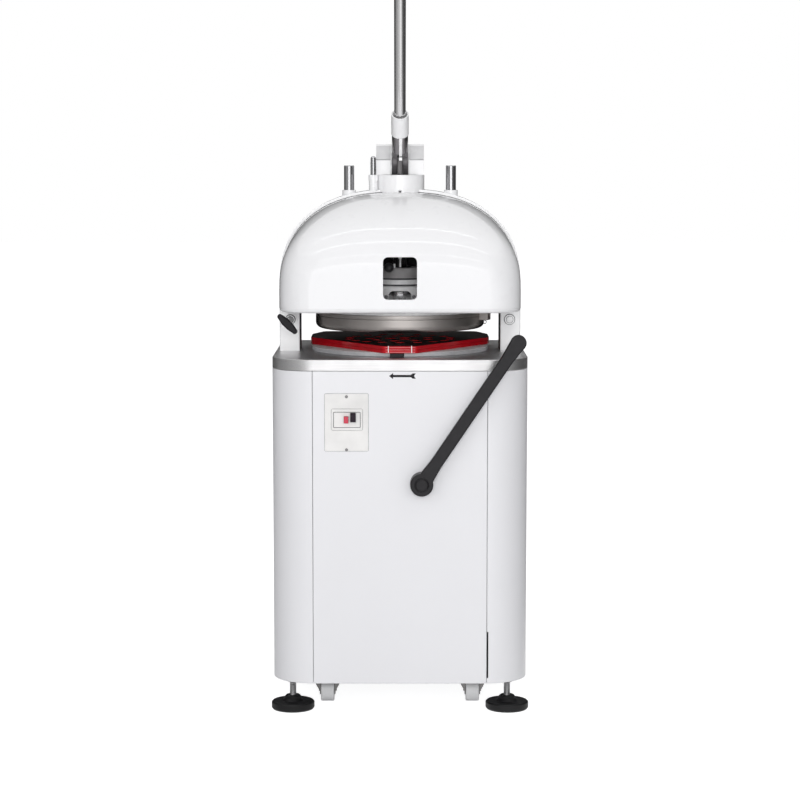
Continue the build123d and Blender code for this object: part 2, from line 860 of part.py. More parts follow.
# Press lever, built along its own leaning axis
lean = math.radians(lever_lean)
lever_axis = Plane(
    origin=(0, 0, pivot_z),
    x_dir=(1, 0, 0),
    z_dir=(0, -math.sin(lean), math.cos(lean)),
)
pin_lead = math.radians(90 - lever_swing / 2 - lever_lean)
pin_local = (-swing_radius * math.sin(pin_lead), swing_radius * math.cos(pin_lead))
fork_side = Plane(
    origin=(-hub_radius, 0, pivot_z),
    x_dir=(0, math.cos(lean), math.sin(lean)),
    z_dir=(1, 0, 0),
)
shoulder = lever_axis.offset(hub_length)
with BuildPart() as lever_hub:
    with BuildSketch(lever_axis):
        Circle(hub_root_radius)
    with BuildSketch(shoulder):
        Circle(hub_shoulder_radius)
    loft()
    with BuildSketch(fork_side) as fork:
        Circle(hub_root_radius)
        with Locations(pin_local):
            Circle(crank_boss_radius)
        make_hull()
    extrude(amount=2 * hub_radius)
    with BuildSketch(shoulder):
        Circle(spigot_radius)
    extrude(amount=spigot_length)
    with BuildSketch(shoulder):
        Circle(tube_radius + running)
    extrude(amount=spigot_length, mode=Mode.SUBTRACT)
    with BuildSketch(lever_axis.offset(-2 * hub_radius)):
        Rectangle(hub_slot, 6 * hub_radius)
    extrude(amount=2 * hub_radius + hub_slot_length, mode=Mode.SUBTRACT)
    with BuildSketch(fork_side):
        with Locations(pin_local):
            Circle(crank_pin_radius)
    extrude(amount=2 * hub_radius)
    crossways(0, pivot_z, -hub_radius, hub_radius, pivot_radius + running, Mode.SUBTRACT)
save(lever_hub, "lever_hub")

with BuildPart() as lever_ferrule:
    with BuildSketch(shoulder):
        Circle(ferrule_radius)
        Circle(spigot_radius + running, mode=Mode.SUBTRACT)
    extrude(amount=spigot_length)
    with BuildSketch(shoulder.offset(spigot_length)):
        Circle(ferrule_radius)
        Circle(ferrule_cup_radius, mode=Mode.SUBTRACT)
    extrude(amount=ferrule_length - spigot_length)
save(lever_ferrule, "lever_ferrule")

with BuildPart() as lever_tube:
    with BuildSketch(shoulder.offset(seat_gap)):
        Circle(tube_radius)
        Circle(tube_radius - tube_wall, mode=Mode.SUBTRACT)
    extrude(amount=tube_length)
save(lever_tube, "lever_tube")

grip_start = shoulder.offset(tube_length - grip_overlap)
with BuildPart() as lever_grip:
    with BuildSketch(grip_start):
        Circle(grip_radius)
    extrude(amount=grip_length)
    fillet(lever_grip.edges().filter_by(GeomType.CIRCLE).sort_by(Axis.Z)[-1], grip_round)
    with BuildSketch(grip_start):
        Circle(tube_radius + running)
    extrude(amount=grip_overlap + grip_end_gap, mode=Mode.SUBTRACT)
save(lever_grip, "lever_grip")

# Plunger with the slotted tongue that the lever's crank pin moves
pin_rest_y = -swing_radius * math.cos(math.radians(lever_swing / 2))
pin_rest_z = pivot_z + press_stroke / 2
tongue_half = hub_slot / 2 - tongue_side_gap
tongue_shoulder = pin_rest_z + crank_pin_radius + pin_play + tongue_web
pivot_clear = pivot_radius + free_gap
tongue_back = pivot_clear + tongue_wall
tongue_top = pivot_z + press_stroke + pivot_clear + tongue_web
tongue_bottom = neck_top - tongue_sink
with BuildPart() as plunger:
    upright(0, 0, crosshead_z, bell_z, bell_guide_radius)
    upright(0, 0, bell_z, flange_bottom, flange_neck_radius)
    upright(0, 0, flange_bottom, flange_top, flange_radius)
    upright(0, 0, flange_top, release_top + release_seat_proud, release_seat_radius)
    upright(0, 0, release_top, tongue_bottom, plunger_radius)
    span_x = (-tongue_half, tongue_half)
    block(span_x, (tongue_front, tongue_back), (tongue_bottom, tongue_shoulder))
    block(span_x, (-pivot_clear - tongue_web, tongue_back), (tongue_bottom, tongue_top))
    slot_y = (-pivot_clear, pivot_clear)
    slot_z = (pivot_z - pivot_clear, pivot_z + press_stroke + pivot_clear)
    block(span_x, slot_y, slot_z, Mode.SUBTRACT)
    pin_reach = crank_pin_radius + pin_play
    slot_y = (-swing_radius - pin_reach, pin_rest_y + pin_reach)
    slot_z = (pin_rest_z - pin_reach, pin_rest_z + pin_reach)
    block(span_x, slot_y, slot_z, Mode.SUBTRACT)
save(plunger, "plunger")

# Crosshead with its bell, and the guide posts standing on it
with BuildPart() as crosshead:
    upright(0, 0, ring_top, crosshead_z, crosshead_radius)
    upright(0, 0, crosshead_z, bell_z, bell_radius)
    fillet(crosshead.faces().sort_by(Axis.Z)[-1].edges(), bell_edge)
    upright(0, 0, crosshead_z, bell_z - bell_roof, bell_radius - bell_wall, Mode.SUBTRACT)
    upright(0, 0, crosshead_z, bell_z, bell_guide_radius + slide_fit, Mode.SUBTRACT)
    for angle in knife_arm_angles:
        across = math.cos(math.radians(angle))
        along = math.sin(math.radians(angle))
        arm_plane = Plane(origin=(0, 0, crosshead_z), x_dir=(-along, across, 0), z_dir=(across, along, 0))
        with BuildSketch(arm_plane):
            with Locations((0, bell_opening_height / 2)):
                RectangleRounded(bell_opening, bell_opening_height, bell_opening_corner)
            with Locations((0, bell_opening_height / 4)):
                Rectangle(bell_opening, bell_opening_height / 2)
        extrude(amount=bell_radius, mode=Mode.SUBTRACT)
    with PolarLocations(knife_rod_circle, len(knife_arm_angles), start_angle=knife_arm_angles[0]):
        with Locations((0, 0, crosshead_z)):
            Cylinder(knife_rod_radius + free_gap, 4 * crosshead_thickness, mode=Mode.SUBTRACT)
save(crosshead, "crosshead")

with BuildPart() as guide_posts:
    for x in (-post_x, post_x):
        upright(x, 0, crosshead_z, crosshead_z + post_rise, post_radius)
    chamfer(guide_posts.edges().group_by(Axis.Z)[-1], post_chamfer)
save(guide_posts, "guide_posts")

# Cutter ring with the lug of its latch
latch_z = ring_top - groove_drop
latch_out = Rotation(0, 0, latch_angle)
with BuildPart() as cutter_ring:
    with BuildSketch(Plane.XZ):
        with BuildLine():
            FilletPolyline(
                (chamber_radius, ring_top),
                (chamber_radius, ring_bottom),
                (ring_radius, ring_bottom),
                (ring_radius, ring_top),
                radius=(ring_foot, ring_edge),
            )
            Line((ring_radius, ring_top), (chamber_radius, ring_top))
        make_face()
        middle = (chamber_radius + ring_radius) / 2
        channel = ring_radius - chamber_radius - 2 * ring_wall
        with Locations((middle, ring_top)):
            Rectangle(channel, 2 * (ring_height - ring_floor), mode=Mode.SUBTRACT)
        with Locations((ring_radius, ring_top - groove_drop)):
            Rectangle(2 * groove_depth, groove_width, mode=Mode.SUBTRACT)
    revolve(axis=Axis.Z)
    with Locations(latch_out * Location((ring_radius + lug_reach, 0, latch_z - lug_drop))):
        Box(lug_length, lug_width, lug_height)
    with Locations(latch_out * Location((ring_radius, 0, latch_z), (0, 90, 0))):
        Cylinder(latch_radius + running, 3 * latch_length, mode=Mode.SUBTRACT)
    slot_half = pull_stem_radius + pull_gap
    slot_middle = ring_radius + pull_reach + pull_travel / 2
    with Locations(latch_out * Location((slot_middle, 0, latch_z - lug_height / 2))):
        Box(pull_travel + 2 * slot_half, 2 * slot_half, lug_height, mode=Mode.SUBTRACT)
save(cutter_ring, "cutter_ring")

with BuildPart() as ring_latch:
    with Locations(latch_out * Location((ring_radius + latch_reach, 0, latch_z), (0, 90, 0))):
        Cylinder(latch_radius, latch_length)
    stem_length = pull_drop - pull_ring
    with Locations(latch_out * Location((ring_radius + pull_reach, 0, latch_z - stem_length / 2))):
        Cylinder(pull_stem_radius, stem_length)
    ring_place = Location((ring_radius + pull_reach, 0, latch_z - pull_drop), (90, 0, 0))
    with Locations(latch_out * ring_place):
        Torus(pull_ring, pull_wire)
save(ring_latch, "ring_latch")

# Press plates, thirty segments in three bands, and the knives between them
plate_bottom = ring_bottom + press_plate_rise
press_plate_top = plate_bottom + press_plate_thickness
knife_bottom = plate_bottom + knife_recess
segment_gap = blade + 2 * blade_gap
bands = list(zip(band_radii[:-1], band_radii[1:], band_counts))
with BuildPart() as press_plates:
    for inner, outer, count in bands:
        with BuildSketch(Plane.XY.offset(plate_bottom)):
            Circle(outer - segment_gap / 2)
            if inner > 0:
                Circle(inner + segment_gap / 2, mode=Mode.SUBTRACT)
            with PolarLocations(outer / 2, count):
                Rectangle(outer, segment_gap, mode=Mode.SUBTRACT)
        extrude(amount=press_plate_thickness)
        middle = (inner + outer) / 2
        stem_height = ring_top - press_plate_top
        with PolarLocations(middle, count, start_angle=180 / count):
            with Locations((0, 0, press_plate_top + stem_height / 2)):
                Cylinder(press_stem_radius, stem_height)
save(press_plates, "press_plates")

arm_bottom = crosshead_z + knife_stroke + knife_arm_gap
arm_top = arm_bottom + knife_arm_thickness
hoop_inner = band_radii[-1]
with BuildPart() as knife_grid:
    with BuildSketch(Plane.XY.offset(knife_bottom)):
        Circle(hoop_inner + hoop_wall)
        Circle(hoop_inner, mode=Mode.SUBTRACT)
        for radius in band_radii[1:-1]:
            Circle(radius + blade / 2)
            Circle(radius - blade / 2, mode=Mode.SUBTRACT)
        for inner, outer, count in bands:
            with PolarLocations((inner + outer) / 2, count):
                Rectangle(outer - inner + blade / 2, blade)
    extrude(amount=blade_height)
    with PolarLocations(knife_rod_circle, len(knife_arm_angles), start_angle=knife_arm_angles[0]):
        with Locations((0, 0, (knife_bottom + arm_top) / 2)):
            Cylinder(knife_rod_radius, arm_top - knife_bottom)
        with Locations((-knife_rod_circle / 2, 0, (arm_bottom + arm_top) / 2)):
            Box(knife_rod_circle + 2 * knife_rod_radius, knife_arm_width, knife_arm_thickness)
    upright(0, 0, arm_bottom, arm_top, knife_hub_radius)
    upright(0, 0, arm_bottom, arm_top, bell_guide_radius + slide_fit, Mode.SUBTRACT)
save(knife_grid, "knife_grid")

# Knife release: a collar on the plunger with a rod and a ball knob
knob_z = release_top + release_knob_rise
with BuildPart() as release_lever:
    upright(0, 0, release_bottom, release_top, bell_radius)
    chamfer(release_lever.edges().group_by(Axis.Z)[-1], release_chamfer)
    upright(0, 0, release_bottom, release_top, release_seat_radius + running, Mode.SUBTRACT)
    rod_start = Vector(release_side, -bell_radius + release_rod_sink, release_top - release_rod_drop)
    rod_end = Vector(release_side, -release_reach, knob_z)
    with BuildSketch(Plane(origin=rod_start, z_dir=rod_end - rod_start)):
        Circle(release_rod_radius)
    extrude(amount=(rod_end - rod_start).length)
    with Locations(rod_end):
        Sphere(release_knob_radius)
save(release_lever, "release_lever")

# Rounding table, moulding plate and its catch
with BuildPart() as rounding_table:
    upright(0, 0, disc_bottom, disc_z, disc_radius)
    chamfer(rounding_table.edges(), disc_chamfer)
    upright(0, 0, disc_bottom, disc_z, spindle_radius + running, Mode.SUBTRACT)
    pocket_depth = disc_thickness / 2 + guide_play
    with PolarLocations(guide_circle, guide_pin_count):
        with Locations((0, 0, disc_bottom + pocket_depth / 2)):
            Cylinder(guide_pin_radius + orbit + guide_play, pocket_depth, mode=Mode.SUBTRACT)
save(rounding_table, "rounding_table")

with BuildPart() as moulding_plate:
    right = [
        (plate_nose_half, plate_nose_y),
        (plate_shoulder_half, plate_shoulder_y),
        (plate_half_width, plate_shoulder_y + plate_corner),
        (plate_half_width, plate_side_y),
        (plate_back_half, plate_back_y),
    ]
    left = [(-x, y) for x, y in reversed(right)]
    with BuildSketch(Plane.XY.offset(disc_z)) as outline:
        with BuildLine():
            Polyline(*right, *left, close=True)
        make_face()
        fillet(outline.vertices().group_by(Axis.Y)[-1], plate_corner)
        fillet(outline.vertices().group_by(Axis.Y)[0], plate_corner / 2)
    extrude(amount=plate_thickness)
    fillet(moulding_plate.faces().sort_by(Axis.Z)[-1].edges(), plate_edge)
    with BuildSketch(Plane.XY.offset(disc_z + (plate_thickness - plate_groove) / 2)):
        add(outline.sketch_local)
        offset(amount=-plate_groove_depth, mode=Mode.SUBTRACT)
    extrude(amount=plate_groove, mode=Mode.SUBTRACT)
    for (inner, outer, count), radius in zip(bands, cup_radii):
        middle = (inner + outer) / 2
        with PolarLocations(middle, count, start_angle=180 / count):
            with Locations((0, 0, plate_z - cup_depth / 2)):
                Cylinder(radius, cup_depth, mode=Mode.SUBTRACT)
save(moulding_plate, "moulding_plate")

catch_back = -disc_radius - seat_gap
with BuildPart() as plate_catch:
    catch_y = (catch_back - catch_depth, catch_back)
    block((catch_left, catch_right), catch_y, (disc_bottom, disc_z))
    fillet(plate_catch.edges().filter_by(Axis.Z), catch_edge)
save(plate_catch, "plate_catch")

# Eccentric crank under the table
with BuildPart() as bearing_housing:
    housing_bottom = pulley_bottom + pulley_width + housing_lift
    upright(0, 0, housing_bottom, table_under, housing_radius)
    upright(0, 0, table_under - housing_flange, table_under, housing_flange_radius)
    upright(0, 0, housing_bottom, table_under, shaft_radius + running, Mode.SUBTRACT)
    well = crank_head_bottom - free_gap
    upright(0, 0, well, table_under, crank_head_radius + crank_head_gap, Mode.SUBTRACT)
save(bearing_housing, "bearing_housing")

slider_bottom = crank_z - slider_height
with BuildPart() as crank_shaft:
    upright(0, 0, shaft_bottom, crank_head_bottom, shaft_radius)
    upright(0, 0, crank_head_bottom, crank_z, crank_head_radius)
    slot_half = slider_half_width + running
    slot_reach = (-crank_head_radius, crank_head_radius)
    slot_z = (slider_bottom - running, crank_z)
    block(slot_reach, (-slot_half, slot_half), slot_z, Mode.SUBTRACT)
    bore_top = crank_head_bottom - shaft_bore_end
    upright(0, 0, shaft_bottom, bore_top, shaft_bore, Mode.SUBTRACT)
save(crank_shaft, "crank_shaft")

with BuildPart() as eccentric_slider:
    span_x = (-slider_half_length, slider_half_length)
    span_y = (-slider_half_width, slider_half_width)
    block(span_x, span_y, (slider_bottom, crank_z))
    upright(0, 0, crank_z, disc_bottom + spindle_height, spindle_radius)
save(eccentric_slider, "eccentric_slider")


def pulley(x, y, radius, bore):
    """Flanged pulley with a flat belt groove."""
    bottom = pulley_bottom
    top = pulley_bottom + pulley_width
    upright(x, y, bottom, bottom + pulley_flange, radius)
    upright(x, y, bottom + pulley_flange, top - pulley_flange, radius - pulley_groove)
    upright(x, y, top - pulley_flange, top, radius)
    if bore > 0:
        upright(x, y, bottom, top, bore, Mode.SUBTRACT)


with BuildPart() as crank_pulley:
    pulley(0, 0, crank_pulley_radius, shaft_radius + running)
    with PolarLocations(pulley_hole_circle, pulley_hole_count):
        with Locations((0, 0, pulley_bottom + pulley_width / 2)):
            Cylinder(pulley_hole_radius, 2 * pulley_width, mode=Mode.SUBTRACT)
save(crank_pulley, "crank_pulley")

motor_top = shelf_z + motor_height
with BuildPart() as motor_pulley:
    pulley(0, motor_y, motor_pulley_radius, 0)
    upright(0, motor_y, motor_top - motor_shaft_seat, pulley_bottom, motor_shaft_radius)
save(motor_pulley, "motor_pulley")

belt_bottom = pulley_bottom + pulley_flange + belt_gap
belt_top = pulley_bottom + pulley_width - pulley_flange - belt_gap
with BuildPart() as drive_belt:
    for spread, mode in ((belt_gap + belt_thickness, Mode.ADD), (belt_gap, Mode.SUBTRACT)):
        with BuildSketch(Plane.XY.offset(belt_bottom)):
            Circle(crank_pulley_radius - pulley_groove + spread)
            with Locations((0, motor_y)):
                Circle(motor_pulley_radius - pulley_groove + spread)
            make_hull()
        extrude(amount=belt_top - belt_bottom, mode=mode)
save(drive_belt, "drive_belt")

with BuildPart() as motor:
    upright(0, motor_y, shelf_z, shelf_z + motor_foot, motor_foot_radius)
    upright(0, motor_y, shelf_z, motor_top, motor_radius)
    box_x = (motor_radius - terminal_sink, motor_radius + terminal_reach)
    box_z = (shelf_z + terminal_bottom, shelf_z + terminal_top)
    block(box_x, (motor_y - terminal_half, motor_y + terminal_half), box_z)
    bore = motor_shaft_radius + running
    bore_bottom = motor_top - motor_shaft_seat - motor_shaft_gap
    upright(0, motor_y, bore_bottom, motor_top, bore, Mode.SUBTRACT)
save(motor, "motor")

# Rounding lever with its shaft, pinion, rack and bearings
pitch_radius = pinion_module * pinion_teeth / 2
pitch = math.pi * pinion_module
half_tooth = tooth_share * pitch / 2
tip_cut = tooth_top * pinion_module * math.tan(math.radians(tooth_slope))
root_spread = tooth_root * pinion_module * math.tan(math.radians(tooth_slope))
tooth_outline = [
    (-tooth_root * pinion_module - tooth_bury, half_tooth + root_spread),
    (tooth_top * pinion_module, half_tooth - tip_cut),
    (tooth_top * pinion_module, -half_tooth + tip_cut),
    (-tooth_root * pinion_module - tooth_bury, -half_tooth - root_spread),
]
pinion_plane = front_plane(pinion_half)
shaft_back = rack_half + guide_wall - shaft_end_gap
with BuildPart() as round_lever_shaft:
    lengthways(lever_x, lever_z, -lever_hub_front + lever_thickness, shaft_back, lever_shaft_radius)
    with BuildSketch(pinion_plane):
        with Locations((lever_x, lever_z)):
            Circle(pitch_radius - tooth_root * pinion_module)
            with PolarLocations(pitch_radius, pinion_teeth):
                Polygon(*tooth_outline, align=None)
    extrude(amount=2 * pinion_half)
save(round_lever_shaft, "round_lever_shaft")

rack_pitch_x = lever_x - pitch_radius
rack_root_x = rack_pitch_x - tooth_root * pinion_module
with BuildPart() as shift_rack:
    block((-rack_half, rack_root_x), (-rack_half, rack_half), (rack_bottom, rack_top))
    upright(0, 0, rack_top, rack_top + rack_pin_length, rack_pin_radius)
    teeth_up = int((rack_top - rack_end - lever_z) / pitch)
    teeth_down = int((lever_z - rack_bottom - rack_end) / pitch)
    rack_plane = front_plane(rack_half)
    with BuildSketch(rack_plane):
        for index in range(-teeth_down, teeth_up):
            with Locations((rack_pitch_x, lever_z + (index + 0.5) * pitch)):
                Polygon(*tooth_outline, align=None)
    extrude(amount=2 * rack_half)
save(shift_rack, "shift_rack")

bearing_front = front_y + panel_return + bearing_gap
with BuildPart() as rack_guide:
    outer = rack_half + guide_wall
    far_side = lever_x + pitch_radius + guide_reach
    block((-outer, far_side), (-outer, outer), (shelf_z, guide_top))
    channel = rack_half + slide_fit
    block((-channel, far_side), (-channel, channel), (shelf_z, guide_top), Mode.SUBTRACT)
    bearing_x = (lever_x - bearing_half, lever_x + bearing_half)
    bearing_y = (bearing_front, bearing_front + bearing_length)
    block(bearing_x, bearing_y, (shelf_z, lever_z + bearing_half))
    bore = lever_shaft_radius + running
    lengthways(lever_x, lever_z, bearing_front, outer, bore, Mode.SUBTRACT)
save(rack_guide, "rack_guide")

hub_back = front_y - lever_hub_gap
arm_back = -lever_hub_front + lever_thickness
with BuildPart() as round_lever_arm:
    lengthways(lever_x, lever_z, -lever_hub_front, hub_back, lever_hub_radius)
    tip_turn = math.asin((lever_tip_half - lever_half) / lever_tip_taper)
    arm_sides = [
        (0, lever_root_half),
        (lever_root_taper, lever_half),
        (lever_length - lever_tip_taper, lever_half),
        (lever_length - lever_tip_half * math.sin(tip_turn), lever_tip_half * math.cos(tip_turn)),
    ]
    arm_place = Location((lever_x, lever_z, 0), (0, 0, lever_angle))
    arm_middle = arm_place * Location((lever_length / 2, 0, 0))
    with BuildSketch(front_plane(arm_back)) as arm_outline:
        with Locations(arm_place):
            Polygon(*arm_sides, *[(along, -half) for along, half in reversed(arm_sides)], align=None)
        with Locations(arm_place * Location((lever_length, 0, 0))):
            Circle(lever_tip_half)
        waists = arm_outline.vertices().sort_by_distance(arm_middle.position)
        fillet(waists[:4], lever_waist)
    extrude(amount=lever_thickness)
    fillet(round_lever_arm.faces().sort_by(Axis.Y)[0].edges(), lever_edge)
    cap_y = -lever_hub_front - lever_cap_height
    lengthways(lever_x, lever_z, cap_y, -lever_hub_front, lever_cap_radius)
    fillet(round_lever_arm.faces().sort_by(Axis.Y)[0].edges(), lever_edge)
    lengthways(lever_x, lever_z, arm_back, hub_back, lever_shaft_radius + running, Mode.SUBTRACT)
save(round_lever_arm, "round_lever_arm")

# Switch plate, bezel, push buttons and screws
plate_x = (switch_x - switch_width / 2, switch_x + switch_width / 2)
plate_span = (switch_z - switch_height / 2, switch_z + switch_height / 2)
with BuildPart() as switch_plate:
    block(plate_x, (switch_front, front_y), plate_span)
    fillet(switch_plate.edges().filter_by(Axis.Y), switch_corner)
    button_openings(switch_front, front_y)
    for z in screw_heights:
        lengthways(switch_x, z, switch_front, front_y, screw_shank_radius + slide_fit, Mode.SUBTRACT)
save(switch_plate, "switch_plate")

bezel_front = switch_front - bezel_thickness
with BuildPart() as switch_bezel:
    block(bezel_x, (bezel_front, switch_front), bezel_span)
    fillet(switch_bezel.edges().filter_by(Axis.Y), bezel_corner)
    chamfer(switch_bezel.faces().sort_by(Axis.Y)[0].edges(), bezel_chamfer)
    dish_x = (bezel_x[0] + dish_inset_x, bezel_x[1] - dish_inset_x)
    dish_z = (bezel_span[0] + dish_inset_z, bezel_span[1] - dish_inset_z)
    block(dish_x, (bezel_front, bezel_front + dish_depth), dish_z, Mode.SUBTRACT)
    button_openings(bezel_front, switch_front)
save(switch_bezel, "switch_bezel")

for name, (x, z, width, height, proud) in buttons.items():
    with BuildPart() as button:
        span_x = (x - width / 2, x + width / 2)
        span_z = (z - height / 2, z + height / 2)
        block(span_x, (bezel_front - proud, front_y + button_depth), span_z)
        fillet(button.faces().sort_by(Axis.Y)[0].edges(), button_edge)
    save(button, name)

with BuildPart() as panel_screws:
    for z in screw_heights:
        lengthways(switch_x, z, switch_front - screw_head, switch_front, screw_head_radius)
        lengthways(switch_x, z, switch_front, switch_front + screw_length, screw_shank_radius)
    for x, z in rear_screws:
        lengthways(x, z, rear_y, rear_y + screw_head, screw_head_radius)
        lengthways(x, z, rear_y - screw_length, rear_y, screw_shank_radius)
save(panel_screws, "panel_screws")

# Castors
castors = {
    "wheel_front_left": (-castor_x, castor_front_y, wheel_lift),
    "wheel_front_right": (castor_x, castor_front_y, wheel_lift),
    "wheel_rear_left": (-castor_x, castor_rear_y, 0.0),
    "wheel_rear_right": (castor_x, castor_rear_y, 0.0),
}
leg_inner = wheel_half + fork_gap
leg_outer = leg_inner + fork_wall
plate_bottom_z = base_z - fork_plate
with BuildPart() as castor_brackets:
    for x, y, lift in castors.values():
        axle_z = wheel_radius + lift
        plate_y = (y - fork_plate_length / 2, y + fork_plate_length / 2)
        span_x = (x - fork_plate_half, x + fork_plate_half)
        block(span_x, plate_y, (plate_bottom_z, base_z))
        for side in (-1, 1):
            with BuildSketch(front_plane(y + fork_leg_half)):
                with BuildLine():
                    Polyline(
                        (x + side * leg_inner, plate_bottom_z),
                        (x + side * fork_plate_half, plate_bottom_z),
                        (x + side * fork_plate_half, plate_bottom_z - fork_cheek),
                        (x + side * leg_outer, plate_bottom_z - fork_gusset),
                        (x + side * leg_outer, axle_z - 2 * axle_radius),
                        (x + side * leg_inner, axle_z - 2 * axle_radius),
                        close=True,
                    )
                make_face()
            extrude(amount=2 * fork_leg_half)
        crossways(y, axle_z, x - leg_outer - axle_end, x + leg_outer + axle_end, axle_radius)
save(castor_brackets, "castor_brackets")

for name, (x, y, lift) in castors.items():
    with BuildPart() as wheel:
        axle_z = wheel_radius + lift
        crossways(y, axle_z, x - wheel_half, x + wheel_half, wheel_radius)
        fillet(wheel.edges().filter_by(GeomType.CIRCLE), wheel_edge)
        bore = axle_radius + running
        crossways(y, axle_z, x - wheel_half, x + wheel_half, bore, Mode.SUBTRACT)
    save(wheel, name)

# Levelling feet
stem_top = base_top + stem_above
with BuildPart() as foot_stems:
    for x, y in feet:
        upright(x, y, stem_bottom, stem_top, stem_radius)
        for nut_bottom in (base_z - nut_height, base_top):
            with BuildSketch(Plane.XY.offset(nut_bottom)):
                with Locations((x, y)):
                    RegularPolygon(nut_flats_radius, 6)
            extrude(amount=nut_height)
save(foot_stems, "foot_stems")

for name, (x, y) in zip(("foot_pad_left", "foot_pad_right"), feet):
    with BuildPart() as pad:
        with BuildSketch(Plane(origin=(x, y, 0), x_dir=(1, 0, 0), z_dir=(0, -1, 0))):
            with BuildLine():
                Polyline(
                    (0, 0),
                    (pad_radius - pad_edge, 0),
                    (pad_radius, pad_foot),
                    (pad_radius, pad_rim - pad_edge),
                    (pad_radius - pad_edge, pad_rim),
                    (pad_hub_radius + pad_cone, pad_hub_bottom - pad_cone),
                    (pad_hub_radius, pad_hub_bottom),
                    (pad_hub_radius, pad_height - pad_edge),
                    (pad_hub_radius - pad_edge, pad_height),
                    (0, pad_height),
                    close=True,
                )
            make_face()
        revolve(axis=Axis((x, y, 0), (0, 0, 1)))
        socket = stem_radius + running
        upright(x, y, stem_bottom - slide_fit, pad_height, socket, Mode.SUBTRACT)
    save(pad, name)
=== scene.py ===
import json
import math

import bmesh
import bpy
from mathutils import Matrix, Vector


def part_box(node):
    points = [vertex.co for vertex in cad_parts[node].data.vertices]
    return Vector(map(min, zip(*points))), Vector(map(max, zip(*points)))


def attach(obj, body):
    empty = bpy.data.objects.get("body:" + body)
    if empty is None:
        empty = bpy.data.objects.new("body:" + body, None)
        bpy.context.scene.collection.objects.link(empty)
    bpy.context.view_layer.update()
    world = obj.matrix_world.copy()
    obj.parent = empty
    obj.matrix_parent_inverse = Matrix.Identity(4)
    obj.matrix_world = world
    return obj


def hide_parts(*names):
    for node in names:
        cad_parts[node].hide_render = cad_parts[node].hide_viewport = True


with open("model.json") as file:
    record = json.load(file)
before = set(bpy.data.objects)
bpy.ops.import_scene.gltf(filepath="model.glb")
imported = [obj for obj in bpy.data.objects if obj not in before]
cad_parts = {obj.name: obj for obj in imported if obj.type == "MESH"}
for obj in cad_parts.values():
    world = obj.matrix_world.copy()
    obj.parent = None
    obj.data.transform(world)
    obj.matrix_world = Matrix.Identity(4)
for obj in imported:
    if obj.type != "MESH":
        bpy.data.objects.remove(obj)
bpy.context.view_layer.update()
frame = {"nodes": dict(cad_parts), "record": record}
nodes = frame["nodes"]
scene = bpy.context.scene
MM = 0.001  # metres in a millimetre


# Materials: every one is procedural, in metres of the object's own frame
BEVEL_SAMPLES = 6
WAVE_TURN = 6.3  # scale of the wave texture's rings against their pitch


